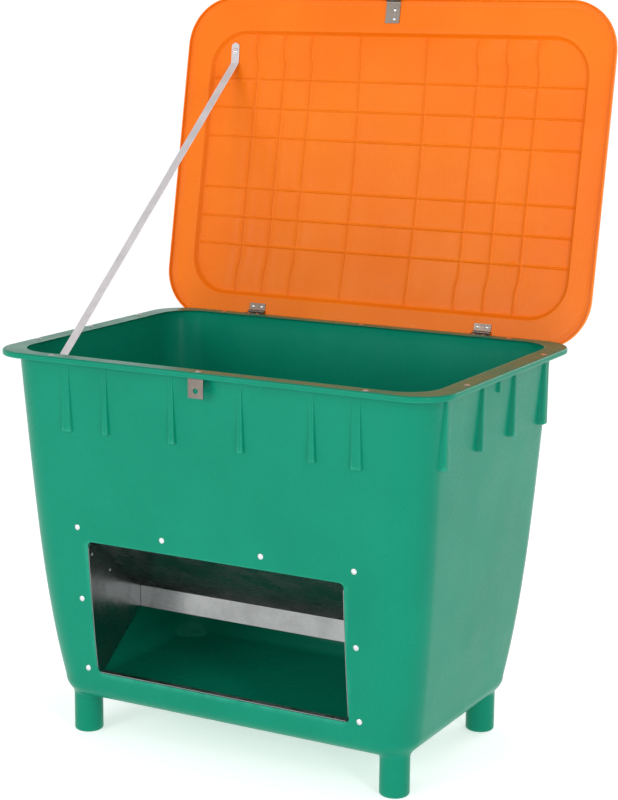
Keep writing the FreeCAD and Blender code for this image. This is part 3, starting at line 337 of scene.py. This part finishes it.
def make_ribs():
    """All fins under the rim, as one piece of the tub moulding."""
    grids = []
    short_foot = 985 * MM
    for side in (-1, 1):
        for sign in (-1, 1):
            grids.append(rib_grid(sign * 97.5 * MM, side, "y", 5.5 * MM, RIB_FOOT + 2 * MM, 9 * MM))
            grids.append(rib_grid(sign * 294 * MM, side, "y", 5.5 * MM, RIB_FOOT + 2 * MM, 9 * MM))
            grids.append(rib_grid(sign * 412 * MM, side, "y", 10 * MM, RIB_FOOT - 2 * MM, 12 * MM))
            grids.append(rib_grid(sign * 98 * MM, side, "x", 5.5 * MM, RIB_FOOT + 4 * MM, 9 * MM))
            grids.append(rib_grid(sign * 303 * MM, side, "x", 10 * MM, RIB_FOOT - 2 * MM, 12 * MM))
        grids.append(rib_grid(0.0, side, "x", 5.0 * MM, short_foot, 7 * MM))
    return join_grids("tub_ribs", grids, 40.0)


def underside(x, y):
    """Height of the tub's underside over the floor: flat, then rising round the turned edge."""
    flat_x = RIM_HALF_LENGTH - OVER_SIDE - TAPER - CURL - WALL_RADIUS
    flat_y = RIM_HALF_DEPTH - OVER_FRONT - TAPER - CURL - WALL_RADIUS
    dx = np.maximum(np.abs(x) - flat_x, 0)
    dy = np.maximum(np.abs(y) - flat_y, 0)
    over = np.clip(np.hypot(dx, dy) - (WALL_RADIUS - BASE_ROUND), 0, BASE_ROUND * 0.999)
    return BASE + BASE_ROUND - np.sqrt(BASE_ROUND ** 2 - over ** 2)


def leg_grid(cx, cy):
    """A hollow foot: rounded lower edge, plain tube, then a flare that meets the underside at a tangent."""
    angle = np.linspace(0, 2 * math.pi, 49)[:-1][None]
    foot = 6 * MM
    low = arc((LEG_RADIUS - foot, foot), foot, -90, 0, 7)
    inside = LEG_RADIUS - WALL
    radius = [inside, inside, inside + 1 * MM] + [r for r, _ in low]
    height = [30 * MM, 1.5 * MM, 0.0] + [z for _, z in low]
    turn = np.radians(np.linspace(0, 90, 9))
    flared = list(LEG_RADIUS + LEG_FLARE * (1 - np.cos(turn)))
    radius = np.array(radius + [LEG_RADIUS] + flared + [LEG_RADIUS + LEG_FLARE])
    drop = np.array([0.0] * (len(height) + 1) + list(LEG_FLARE * (1 - np.sin(turn))) + [-2.5 * MM])
    hung = np.array([0.0] * (len(height) + 1) + [1.0] * (len(turn) + 1))
    fixed = np.array(height + [40 * MM] + [0.0] * (len(turn) + 1))
    x = cx + radius[:, None] * np.cos(angle)
    y = cy + radius[:, None] * np.sin(angle)
    z = np.where(hung[:, None] > 0, underside(x, y) - drop[:, None], fixed[:, None])
    points = np.stack([x, y + TUB_Y, z], -1)
    rows, count = x.shape
    faces = grid_faces(rows, count, close_columns=True).tolist()
    faces += [list(range(count)), list(range((rows - 1) * count, rows * count))]
    return points, faces


def make_legs():
    places = [(sx * LEG_X, sy * LEG_Y) for sx in (-1, 1) for sy in (-1, 1)]
    return join_grids("tub_legs", [leg_grid(x, y) for x, y in places], 50.0)


# ---------------------------------------------------------------- the lid, worked out closed and then opened

def open_lid(points):
    """Turn points of the closed lid, given about the hinge axis, to their place at rest."""
    turn = -LID_OPEN
    y, z = points[..., 1], points[..., 2]
    out = points.copy()
    out[..., 1] = y * math.cos(turn) - z * math.sin(turn) + HINGE_Y
    out[..., 2] = y * math.sin(turn) + z * math.cos(turn) + HINGE_Z
    return out


def make_lid_border():
    """Closed section of lip, shoulder, band and panel side, carried round the lid.

    The lid's and the panel's outlines have different middles, so each row carries its own.
    """
    lid_middle = (LID_REAR - LID_FRONT) / 2
    top = BAND + LID_SKIN
    foot = BAND - LID_LIP
    rows = []

    def lid(inset, z):
        rows.append((LID_HALF - inset, (LID_REAR + LID_FRONT) / 2 - inset, LID_RADIUS - inset, z, lid_middle))

    def panel(inset, z):
        half = (PANEL_FRONT + PANEL_REAR) / 2
        rows.append((PANEL_HALF - inset, half - inset, PANEL_RADIUS - inset, z, (PANEL_REAR - PANEL_FRONT) / 2))

    for u, z in arc((LID_SKIN / 2, foot + LID_SKIN / 2), LID_SKIN / 2, 0, -180, 9):
        lid(u, z)
    lid(0.0, BAND - 5 * MM)
    for u, z in arc((9 * MM, top - 9 * MM), 9 * MM, 180, 90, 9):
        lid(u, z)
    lid(19 * MM, top)
    lid(19.5 * MM, top)
    panel(-16 * MM, top)
    panel(-9 * MM, top)
    for u, z in arc((-8 * MM, top + 5 * MM), 5 * MM, 270, 325, 6):
        panel(u, z)
    roof = BAND + PANEL_RISE
    outer = roof + LID_SKIN
    for u, z in arc((2.6 * MM, outer - 6 * MM), 6 * MM, 150, 90, 7):
        panel(u, z)
    panel(16 * MM, outer - 0.6 * MM)
    panel(16 * MM, roof + 1.2 * MM)
    for u, z in arc((12 * MM, roof - 8 * MM), 8 * MM, 80, 148, 9):
        panel(u, z)
    for u, z in arc((-3.5 * MM, BAND + 3.6 * MM), 3.6 * MM, -35, -90, 7):
        panel(u, z)
    panel(-12 * MM, BAND)
    lid(26 * MM, BAND)
    lid(21 * MM, BAND)
    for u, z in arc((20 * MM, BAND - 1.5 * MM), 1.5 * MM, 60, 120, 4):
        lid(u, z - 0.2 * MM)
    lid(15 * MM, BAND - 0.7 * MM)
    for u, z in arc((9 * MM, BAND - 5.5 * MM), 5 * MM, 90, 180, 8):
        lid(u, z)
    lid(LID_SKIN, BAND - 9 * MM)
    table = np.array(rows)
    path = ring_path(26, 40, 28)
    flat = rings(path, table[:, 0], table[:, 1], table[:, 2])
    flat[..., 1] += table[:, 4][:, None]
    z = np.broadcast_to(table[:, 3][:, None, None], flat.shape[:2] + (1,))
    points = open_lid(np.concatenate([flat, z], -1))
    faces = grid_faces(points.shape[0], points.shape[1], close_rows=True, close_columns=True)
    return new_mesh("lid_border", points, faces, 24.0)


LONG_RIBS = (-434, -345, -257, -101, 101, 257, 345, 434)
CROSS_RIBS = (188, 268, 351, 498, 581, 664)
CRESCENTS = ((-391, 650, 90, 215), (-387, 179, 150, 280), (423, 670, 110, 260), (422, 169, 100, 250))
RIB_STEPS = np.array([-9.0, -5.0, -3.0, -1.9, -0.9, 0.0, 0.9, 1.9, 3.0, 5.0, 9.0]) * MM


def spread_lines(centres, low, high, between):
    """Grid positions with a fixed close set about each centre and an even spread between the sets."""
    lines, start = [], low
    for centre in centres:
        lines.append(np.linspace(start, centre + RIB_STEPS[0], between + 1)[:-1])
        lines.append(centre + RIB_STEPS[:-1])
        start = centre + RIB_STEPS[-1]
    lines.append(np.linspace(start, high, between + 1))
    return np.concatenate(lines)


def rib_drift(k, reach):
    """Sideways drift of a front-to-back rib at a distance from the hinge: small steps, or a slow bend."""
    step = 1 / (1 + np.exp(-(reach - 720 * MM) / (4.5 * MM))) + 1 / (1 + np.exp((reach - 134 * MM) / (8 * MM)))
    if LONG_RIBS[k] == -101:
        return (-10 * (reach / 0.8) ** 2 + 11 * np.sin(math.pi * reach / 0.86)) * MM
    if LONG_RIBS[k] == 101:
        return (11 * np.sin(math.pi * reach / 0.86) - 6 * (reach / 0.8) ** 2) * MM
    return (2 - 8 * step) * MM


def panel_half_at(reach):
    """Half length of the panel's floor at a distance from the hinge, narrowing round its corners."""
    inset = 3 * MM
    radius = PANEL_RADIUS - inset
    half_depth = (PANEL_FRONT + PANEL_REAR) / 2 - inset
    off = np.abs(reach - (PANEL_FRONT - PANEL_REAR) / 2)
    past = np.clip(off - (half_depth - radius), 0, radius * 0.9999)
    return PANEL_HALF - inset - radius + np.sqrt(radius ** 2 - past ** 2)


def ridge(offset, half, height):
    """A rib's cross-section: a narrow round-topped ridge with small fillets at its foot."""
    t = np.abs(offset) / half
    return height / (1 + t ** 4)


def make_lid_panel():
    """Floor of the lid's panel: flutes between the ribs, two sets of crossing ridges and four crescents."""
    inset = 3 * MM
    reach = spread_lines(np.array(CROSS_RIBS) * MM, -PANEL_REAR + inset, PANEL_FRONT - inset, 9)
    base = spread_lines(np.array(LONG_RIBS) * MM, -0.468, 0.468, 9)
    base = base[(base >= -0.4681) & (base <= 0.4681)]
    drift = np.zeros((len(reach), len(base)))
    centres = np.array(LONG_RIBS) * MM
    drifts = np.stack([rib_drift(k, reach) for k in range(len(LONG_RIBS))], -1)
    for row in range(len(reach)):
        drift[row] = np.interp(base, centres, drifts[row])
    x = base[None] + drift
    outer = panel_half_at(reach)
    side = np.linspace(0, 1, 15)[1:]
    left = x[:, :1] + (-outer[:, None] - x[:, :1]) * side[None]
    right = x[:, -1:] + (outer[:, None] - x[:, -1:]) * side[None]
    x = np.concatenate([left[:, ::-1], x, right], 1)
    reach_grid = reach[:, None] + 0 * x
    rise = np.zeros_like(x)
    end_edge = np.minimum(reach_grid + PANEL_REAR, PANEL_FRONT - reach_grid)
    edge = np.minimum(outer[:, None] - np.abs(x), end_edge)
    soft = np.clip((edge - 6 * MM) / (22 * MM), 0, 1)
    soft = soft * soft * (3 - 2 * soft)
    for k, centre in enumerate(centres):
        offset = x - (centre + drifts[:, k][:, None])
        rise += ridge(offset, 2.0 * MM, 4.6 * MM)
        rise += 1.9 * MM * np.exp(-((offset - 13 * MM) / (15 * MM)) ** 2) * soft
        rise -= 2.6 * MM * np.exp(-((offset + 14 * MM) / (13 * MM)) ** 2) * soft
    cross = np.zeros_like(x)
    for centre in np.array(CROSS_RIBS) * MM:
        offset = reach_grid - centre
        cross = np.maximum(cross, ridge(offset, 1.9 * MM, 3.4 * MM))
    rise = np.maximum(rise, cross) * 0.45 + (rise + cross) * 0.55
    rise += 0.7 * MM * np.sin(x * 9.3 + 1.1) * np.cos(reach_grid * 7.7 + 0.4) * soft
    for cx, cy, start, end in CRESCENTS:
        dx, dy = x - cx * MM, reach_grid - cy * MM
        distance = np.hypot(dx, dy)
        angle = np.degrees(np.arctan2(dy, dx)) % 360
        part = 1 / (1 + np.exp(-(angle - start) / 9)) / (1 + np.exp((angle - end) / 9))
        rise += 2.0 * MM * np.exp(-((distance - 24 * MM) / (3.4 * MM)) ** 2) * part
    floor = BAND + PANEL_RISE
    rise *= np.clip(edge / (4 * MM), 0, 1)
    low = np.stack([x, -reach_grid, floor - rise], -1)
    high = np.stack([x, -reach_grid, floor + LID_SKIN - 0.2 * MM - rise * 0.6], -1)
    rows, columns = x.shape
    count = rows * columns
    under = grid_faces(rows, columns)
    over = under[:, ::-1] + count
    border = np.concatenate([np.arange(columns), np.arange(1, rows) * columns + columns - 1,
                             (rows - 1) * columns + np.arange(columns - 2, -1, -1),
                             np.arange(rows - 2, 0, -1) * columns])
    after = np.roll(border, -1)
    walls = np.stack([border, after, after + count, border + count], -1)
    points = open_lid(np.concatenate([low.reshape(-1, 3), high.reshape(-1, 3)]))
    return new_mesh("lid_panel", points, np.concatenate([under, over, walls]), 60.0)


# ---------------------------------------------------------------- the stay strap

def strap_line():
    """Points of the strap's middle line, from its lid end to its tub end."""
    along_lid = Vector((0, math.sin(LID_OPEN - math.pi / 2), math.cos(LID_OPEN - math.pi / 2)))
    floor = BAND + PANEL_RISE - 2.6 * MM
    anchor = Vector(open_lid(np.array([-512 * MM, -743 * MM, floor]))[:])
    wall_front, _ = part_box("strap")
    foot = Vector((-434 * MM, wall_front.y + 2.2 * MM, 1003 * MM))
    lean = Vector((0.062, 0, 0))
    return [
        anchor + along_lid * 26 * MM - lean * 26 * MM,
        anchor,
        anchor - along_lid * 33 * MM + lean * 33 * MM,
        foot + Vector((0, 0, 20 * MM)),
        foot,
        foot - Vector((0, 0, 16 * MM)),
    ]


def make_strap():
    """Webbing: a flat oval section carried along a bent line, from the lid's face to the wall's."""
    stations = strap_line()
    places = np.array([tuple(point) for point in stations])
    lengths = np.concatenate([[0], np.cumsum(np.linalg.norm(np.diff(places, axis=0), axis=1))])
    total = lengths[-1]
    s = np.unique(np.concatenate([np.linspace(0, total, 260), lengths]))
    line = np.stack([np.interp(s, lengths, places[:, k]) for k in range(3)], -1)
    for _ in range(5):
        line[1:-1] = (line[:-2] + 2 * line[1:-1] + line[2:]) / 4
    tangent = np.gradient(line, s, axis=0)
    tangent /= np.linalg.norm(tangent, axis=1, keepdims=True)
    across = np.array([1.0, 0.0, 0.0]) - tangent * tangent[:, :1]
    across /= np.linalg.norm(across, axis=1, keepdims=True)
    normal = np.cross(across, tangent)
    section = np.linspace(0, 2 * math.pi, 29)[:-1]
    power = 0.28
    wide = np.sign(np.cos(section)) * np.abs(np.cos(section)) ** power * 12.5 * MM
    thick = np.sign(np.sin(section)) * np.abs(np.sin(section)) ** 0.6 * 1.0 * MM
    from_end = np.minimum(s, total - s)
    rounding = np.sqrt(np.clip(1 - (1 - np.clip(from_end / (11 * MM), 0, 1)) ** 2, 0.0, 1))
    rounding = np.maximum(rounding, 0.02)
    wave = 0.5 * MM * np.sin(s * 23.0) * np.sin(math.pi * s / total)
    points = line[:, None] + across[:, None] * (wide[None] * rounding[:, None])[..., None]
    points = points + normal[:, None] * (thick[None] + wave[:, None])[..., None]
    rows, columns = points.shape[:2]
    faces = grid_faces(rows, columns, close_columns=True).tolist()
    faces += [list(range(columns)), list(range((rows - 1) * columns, rows * columns))]
    strap = new_mesh("strap_webbing", points, faces, 60.0)
    uv = strap.data.uv_layers.new(name="webbing")
    u = np.broadcast_to(wide[None], (rows, columns)).ravel()
    v = np.broadcast_to(s[:, None], (rows, columns)).ravel()
    corner = np.zeros(len(strap.data.loops), np.int32)
    strap.data.loops.foreach_get("vertex_index", corner)
    uv.data.foreach_set("uv", np.stack([u[corner], v[corner]], -1).astype(np.float32).ravel())
    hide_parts("strap")
    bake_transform(strap)
    return strap


# ---------------------------------------------------------------- materials

def node_group(name, inputs, outputs):
    """An empty shader group with named inputs (type, default) and outputs."""
    group = bpy.data.node_groups.new(name, "ShaderNodeTree")
    for label, (kind, default) in inputs.items():
        socket = group.interface.new_socket(label, in_out="INPUT", socket_type=kind)
        socket.default_value = default
    for label, kind in outputs.items():
        group.interface.new_socket(label, in_out="OUTPUT", socket_type=kind)
    return group, group.nodes.new("NodeGroupInput"), group.nodes.new("NodeGroupOutput")


def add(tree, kind, inputs=None, **settings):
    """A node with its settings and inputs; an input value is a number, a colour or another socket."""
    made = tree.nodes.new(kind)
    for key, value in settings.items():
        setattr(made, key, value)
    for key, value in (inputs or {}).items():
        if isinstance(value, bpy.types.NodeSocket):
            tree.links.new(value, made.inputs[key])
        else:
            made.inputs[key].default_value = value
    return made


def maths(tree, operation, a, b=0.0, clamp=False):
    made = add(tree, "ShaderNodeMath", {0: a, 1: b}, operation=operation, use_clamp=clamp)
    return made.outputs[0]


def blend_colour(tree, share, a, b, kind="MIX"):
    made = add(tree, "ShaderNodeMix", None, data_type="RGBA", blend_type=kind, clamp_factor=True)
    for key, value in ((0, share), (6, a), (7, b)):
        if isinstance(value, bpy.types.NodeSocket):
            tree.links.new(value, made.inputs[key])
        else:
            made.inputs[key].default_value = value
    return made.outputs[2]


def noise(tree, place, scale, detail=3.0, rough=0.55):
    inputs = {"Vector": place, "Scale": scale, "Detail": detail, "Roughness": rough}
    return add(tree, "ShaderNodeTexNoise", inputs).outputs["Fac"]


def scaled(tree, value, low, high, out_low, out_high):
    made = add(tree, "ShaderNodeMapRange", {0: value, 1: low, 2: high, 3: out_low, 4: out_high})
    return made.outputs[0]


def moulded_plastic_group():
    """Moulded plastic: cloudy colour, fine speckle, worn edges, scuffs and a slightly rippled skin."""
    group, start, end = node_group("moulded_plastic", {
        "Colour": ("NodeSocketColor", (0.1, 0.5, 0.4, 1)),
        "Deep colour": ("NodeSocketColor", (0.05, 0.4, 0.3, 1)),
        "Worn colour": ("NodeSocketColor", (0.3, 0.7, 0.6, 1)),
        "Gloss": ("NodeSocketFloat", 0.3),
        "Ripple": ("NodeSocketFloat", 1.0),
    }, {"Colour": "NodeSocketColor", "Roughness": "NodeSocketFloat", "Height": "NodeSocketFloat"})
    place = add(group, "ShaderNodeTexCoord").outputs["Object"]
    clouds = noise(group, place, 3.2, 4.0)
    grain = noise(group, place, 420.0, 2.0)
    shade = scaled(group, clouds, 0.3, 0.72, 0.0, 1.0)
    colour = blend_colour(group, shade, start.outputs["Deep colour"], start.outputs["Colour"])
    fleck = scaled(group, grain, 0.35, 0.75, 0.93, 1.05)
    bright = add(group, "ShaderNodeHueSaturation", {"Color": colour, "Value": fleck}).outputs[0]
    edge = add(group, "ShaderNodeNewGeometry").outputs["Pointiness"]
    wear = scaled(group, edge, 0.515, 0.57, 0.0, 0.55)
    patches = scaled(group, noise(group, place, 26.0), 0.35, 0.65, 0.3, 1.0)
    wear = maths(group, "MULTIPLY", wear, patches, clamp=True)
    worn = blend_colour(group, wear, bright, start.outputs["Worn colour"])
    streak_place = add(group, "ShaderNodeMapping", {"Vector": place, "Scale": (60.0, 60.0, 2.5)}).outputs[0]
    streaks = noise(group, streak_place, 2.0, 3.0)
    rough = scaled(group, noise(group, place, 9.0, 4.0), 0.3, 0.7, -0.05, 0.06)
    rough = maths(group, "ADD", rough, start.outputs["Gloss"])
    rough = maths(group, "ADD", rough, scaled(group, streaks, 0.62, 0.75, 0.0, 0.05))
    ripple = maths(group, "MULTIPLY", noise(group, place, 7.0, 1.5), start.outputs["Ripple"])
    skin = maths(group, "MULTIPLY", noise(group, place, 260.0, 2.0), 0.018)
    group.links.new(worn, end.inputs["Colour"])
    group.links.new(rough, end.inputs["Roughness"])
    group.links.new(maths(group, "ADD", ripple, skin), end.inputs["Height"])
    return group


def sheet_metal_group():
    """Bright sheet: faint rolling lines, cloudy tone, fingerprints, small dents and a painted highlight along its
    sharp edges.
    """
    group, start, end = node_group("sheet_metal", {
        "Colour": ("NodeSocketColor", (0.7, 0.7, 0.72, 1)),
        "Stain": ("NodeSocketColor", (0.4, 0.38, 0.35, 1)),
        "Gloss": ("NodeSocketFloat", 0.3),
        "Stained": ("NodeSocketFloat", 0.3),
        "Grain": ("NodeSocketFloat", 1.0),
    }, {"Colour": "NodeSocketColor", "Roughness": "NodeSocketFloat", "Height": "NodeSocketFloat"})
    place = add(group, "ShaderNodeTexCoord").outputs["Object"]
    rolled_place = add(group, "ShaderNodeMapping", {"Vector": place, "Scale": (3.0, 140.0, 140.0)}).outputs[0]
    rolled = noise(group, rolled_place, 4.0, 3.0)
    clouds = noise(group, place, 11.0, 5.0)
    spots = noise(group, place, 90.0, 3.0)
    stain = maths(group, "MULTIPLY", scaled(group, clouds, 0.42, 0.7, 0.0, 1.0), start.outputs["Stained"])
    stain = maths(group, "ADD", stain, maths(group, "MULTIPLY", scaled(group, spots, 0.62, 0.75, 0.0, 0.6),
                                             start.outputs["Stained"]), clamp=True)
    colour = blend_colour(group, stain, start.outputs["Colour"], start.outputs["Stain"])
    tone = scaled(group, rolled, 0.3, 0.7, 0.93, 1.05)
    colour = add(group, "ShaderNodeHueSaturation", {"Color": colour, "Value": tone}).outputs[0]
    # painted highlight: sharp edges are blended towards near white, standing in for the sheet's thickness catching
    # the light
    edge = add(group, "ShaderNodeNewGeometry").outputs["Pointiness"]
    bright = scaled(group, edge, 0.54, 0.66, 0.0, 0.1)
    colour = blend_colour(group, bright, colour, (0.95, 0.95, 0.95, 1))
    rough = maths(group, "ADD", start.outputs["Gloss"], scaled(group, clouds, 0.3, 0.7, -0.06, 0.08))
    rough = maths(group, "ADD", rough, scaled(group, rolled, 0.3, 0.7, -0.04, 0.05))
    height = maths(group, "MULTIPLY", rolled, maths(group, "MULTIPLY", start.outputs["Grain"], 0.02))
    height = maths(group, "ADD", height, maths(group, "MULTIPLY", noise(group, place, 6.0, 1.0), 0.8))
    group.links.new(colour, end.inputs["Colour"])
    group.links.new(rough, end.inputs["Roughness"])
    group.links.new(height, end.inputs["Height"])
    return group


def surface(name, group, values, bump, distance, settings):
    """A material: the group's colour, roughness and height feed one Principled shader."""
    material = bpy.data.materials.new(name)
    material.use_nodes = True
    tree = material.node_tree
    tree.nodes.clear()
    effect = add(tree, "ShaderNodeGroup", None, node_tree=group)
    for key, value in values.items():
        effect.inputs[key].default_value = value
    relief = add(tree, "ShaderNodeBump", {
        "Height": effect.outputs["Height"], "Strength": bump, "Distance": distance})
    shader = add(tree, "ShaderNodeBsdfPrincipled", {
        "Base Color": effect.outputs["Colour"], "Roughness": effect.outputs["Roughness"],
        "Normal": relief.outputs[0]})
    for key, value in settings.items():
        shader.inputs[key].default_value = value
    add(tree, "ShaderNodeOutputMaterial", {"Surface": shader.outputs[0]})
    return material


def linear(red, green, blue):
    """A linear colour from one written on the usual 0 to 255 scale."""
    channels = [c / 255 for c in (red, green, blue)]
    return tuple(c / 12.92 if c < 0.04045 else ((c + 0.055) / 1.055) ** 2.4 for c in channels) + (1.0,)


def webbing_material():
    """Woven strap: rows of slanted floats across the width, thicker edges, soft sheen."""
    material = bpy.data.materials.new("strap_webbing")
    material.use_nodes = True
    tree = material.node_tree
    tree.nodes.clear()
    uv = add(tree, "ShaderNodeUVMap", uv_map="webbing").outputs[0]
    axes = add(tree, "ShaderNodeSeparateXYZ", {0: uv})
    across, along = axes.outputs[0], axes.outputs[1]
    warp = maths(tree, "SINE", maths(tree, "MULTIPLY", across, 2 * math.pi / 0.0022))
    picks = maths(tree, "MULTIPLY", along, 2 * math.pi / 0.0016)
    slant = maths(tree, "ADD", picks, maths(tree, "MULTIPLY", warp, 1.3))
    weft = maths(tree, "SINE", slant)
    weave = maths(tree, "MULTIPLY", maths(tree, "ADD", warp, weft), 0.25)
    weave = maths(tree, "ADD", weave, 0.5)
    edge = scaled(tree, maths(tree, "ABSOLUTE", across), 0.0105, 0.0122, 0.0, 1.0)
    place = add(tree, "ShaderNodeTexCoord").outputs["Object"]
    soil = scaled(tree, noise(tree, place, 18.0, 4.0), 0.35, 0.7, 0.0, 1.0)
    colour = blend_colour(tree, soil, linear(214, 210, 212), linear(196, 191, 193))
    colour = blend_colour(tree, scaled(tree, weave, 0.1, 0.6, 0.35, 0.0), colour, linear(172, 166, 168))
    colour = blend_colour(tree, maths(tree, "MULTIPLY", edge, 0.6), colour, linear(240, 238, 238))
    relief = add(tree, "ShaderNodeBump", {"Height": weave, "Strength": 0.6, "Distance": 0.0005})
    shader = add(tree, "ShaderNodeBsdfPrincipled", {
        "Base Color": colour, "Roughness": scaled(tree, weave, 0.0, 1.0, 0.85, 0.62),
        "Normal": relief.outputs[0]})
    shader.inputs["Sheen Weight"].default_value = 0.25
    add(tree, "ShaderNodeOutputMaterial", {"Surface": shader.outputs[0]})
    return material


def make_materials():
    plastic = moulded_plastic_group()
    metal = sheet_metal_group()
    coat = {"Specular IOR Level": 0.28, "IOR": 1.3}
    tub = surface("tub_plastic", plastic, {
        "Colour": linear(6, 134, 106), "Deep colour": linear(3, 126, 99), "Worn colour": linear(66, 172, 146),
        "Gloss": 0.29, "Ripple": 0.6}, 0.35, 0.0016, coat)
    lid = surface("lid_plastic", plastic, {
        "Colour": linear(240, 120, 18), "Deep colour": linear(236, 111, 12),
        "Worn colour": linear(250, 152, 70),
        "Gloss": 0.36, "Ripple": 0.5}, 0.3, 0.0016, coat)
    sheet = surface("feed_sheet", metal, {
        "Colour": linear(150, 152, 152), "Stain": linear(112, 114, 114),
        "Gloss": 0.24, "Stained": 0.45, "Grain": 1.0},
        0.4, 0.001, {"Metallic": 1.0})
    lock = surface("lock_steel", metal, {
        "Colour": linear(112, 102, 92), "Stain": linear(70, 60, 52),
        "Gloss": 0.38, "Stained": 0.7, "Grain": 1.0},
        0.4, 0.0006, {"Metallic": 1.0})
    hinges = surface("hinge_steel", metal, {
        "Colour": linear(98, 80, 66), "Stain": linear(62, 46, 36),
        "Gloss": 0.4, "Stained": 0.7, "Grain": 1.0},
        0.4, 0.0006, {"Metallic": 1.0})
    bars = surface("rim_bar", metal, {
        "Colour": linear(180, 182, 184), "Stain": linear(130, 128, 126),
        "Gloss": 0.42, "Stained": 0.5, "Grain": 1.0},
        0.4, 0.0006, {"Metallic": 1.0})
    rivets = surface("fastener_metal", metal, {
        "Colour": linear(225, 226, 228), "Stain": linear(180, 180, 182),
        "Gloss": 0.27, "Stained": 0.4, "Grain": 0.3},
        0.3, 0.0004, {"Metallic": 1.0})
    return {"tub_plastic": tub, "lid_plastic": lid, "feed_sheet": sheet, "lock_steel": lock,
            "hinge_steel": hinges, "rim_bar": bars, "fastener_metal": rivets, "strap_webbing": webbing_material()}


def paint(obj, material):
    """Give every face of an object one material."""
    obj.data.materials.clear()
    obj.data.materials.append(material)


# ---------------------------------------------------------------- floor, light and camera

def make_floor():
    """A wide, flat, pale floor; a faint glow of its own keeps it even out to the horizon."""
    radius = np.array([0.0, 1.5, 4.0, 12.0, 60.0])[:, None]
    angle = np.linspace(0, 2 * math.pi, 49)[:-1][None]
    points = np.stack([radius * np.cos(angle), radius * np.sin(angle), 0 * radius * angle - 0.2 * MM], -1)
    floor = new_mesh("floor", points, grid_faces(5, 48, close_columns=True)[:, ::-1], outward=False)
    material = bpy.data.materials.new("pale_floor")
    material.use_nodes = True
    shader = material.node_tree.nodes["Principled BSDF"]
    shader.inputs["Base Color"].default_value = (0.9, 0.9, 0.9, 1)
    shader.inputs["Roughness"].default_value = 0.8
    shader.inputs["Specular IOR Level"].default_value = 0.1
    shader.inputs["Emission Color"].default_value = (1, 1, 1, 1)
    shader.inputs["Emission Strength"].default_value = 0.5
    paint(floor, material)


def softbox(name, place, target, width, height, power):
    data = bpy.data.lights.new(name, "AREA")
    data.shape = "RECTANGLE"
    data.size, data.size_y, data.energy = width, height, power
    light = bpy.data.objects.new(name, data)
    bpy.context.scene.collection.objects.link(light)
    light.location = place
    light.rotation_euler = (Vector(target) - Vector(place)).to_track_quat("-Z", "Y").to_euler()


def make_lights():
    world = bpy.data.worlds.new("studio")
    bpy.context.scene.world = world
    world.use_nodes = True
    tree = world.node_tree
    sky = tree.nodes["Background"]
    direction = add(tree, "ShaderNodeTexCoord").outputs["Generated"]
    height = add(tree, "ShaderNodeSeparateXYZ", {0: direction}).outputs[2]
    tree.links.new(scaled(tree, height, 0.15, 0.8, 1.1, 0.4), sky.inputs["Strength"])
    sky.inputs["Color"].default_value = (1, 1, 1, 1)
    aim = (0, 0, 0.9)
    softbox("key_light", (-1.6, -5.4, 2.3), aim, 3.0, 2.0, 105)
    softbox("corner_light", (4.2, -3.0, 2.4), aim, 0.5, 2.6, 60)
    softbox("rear_light", (1.8, 5.0, 2.6), aim, 3.0, 2.0, 60)
    bpy.context.scene.view_settings.view_transform = "Standard"


def make_camera():
    """A long lens, a little above the rim and to the right of the front."""
    around, above, roll = 0.5004, 0.2089, 0.0080
    unit = 0.635
    back = Vector((math.sin(around) * math.cos(above), -math.cos(around) * math.cos(above), math.sin(above)))
    right = Vector((0, 0, 1)).cross(back).normalized()
    up = back.cross(right)
    turned_right = right * math.cos(roll) + up * math.sin(roll)
    turned_up = up * math.cos(roll) - right * math.sin(roll)
    place = Vector((3.8784, -6.9498, 3.0307)) * unit + Vector((0, TUB_Y, 0))
    data = bpy.data.cameras.new("camera")
    data.sensor_fit = "AUTO"
    data.sensor_width = 36.0
    data.lens = 1978.33 * 36 / 800
    data.shift_x, data.shift_y = 0.0070, 0.0230
    camera = bpy.data.objects.new("camera", data)
    bpy.context.scene.collection.objects.link(camera)
    turn = Matrix((turned_right, turned_up, back)).transposed()
    camera.matrix_world = Matrix.Translation(place) @ turn.to_4x4()
    bpy.context.scene.camera = camera


# ---------------------------------------------------------------- put together

materials = make_materials()
slots = {entry["node"]: entry["material_slot"] for entry in frame["record"]["subparts"]}
for name, obj in nodes.items():
    paint(obj, materials[slots[name]])

tub = make_tub()
for piece in (tub, make_ribs(), make_legs()):
    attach(piece, "root")
    paint(piece, materials["tub_plastic"])

border = make_lid_border()
panel = make_lid_panel()
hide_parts("lid")
for piece in (border, panel):
    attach(piece, "lid")
    paint(piece, materials["lid_plastic"])

strap = make_strap()
paint(strap, materials["strap_webbing"])

make_floor()
make_lights()
make_camera()
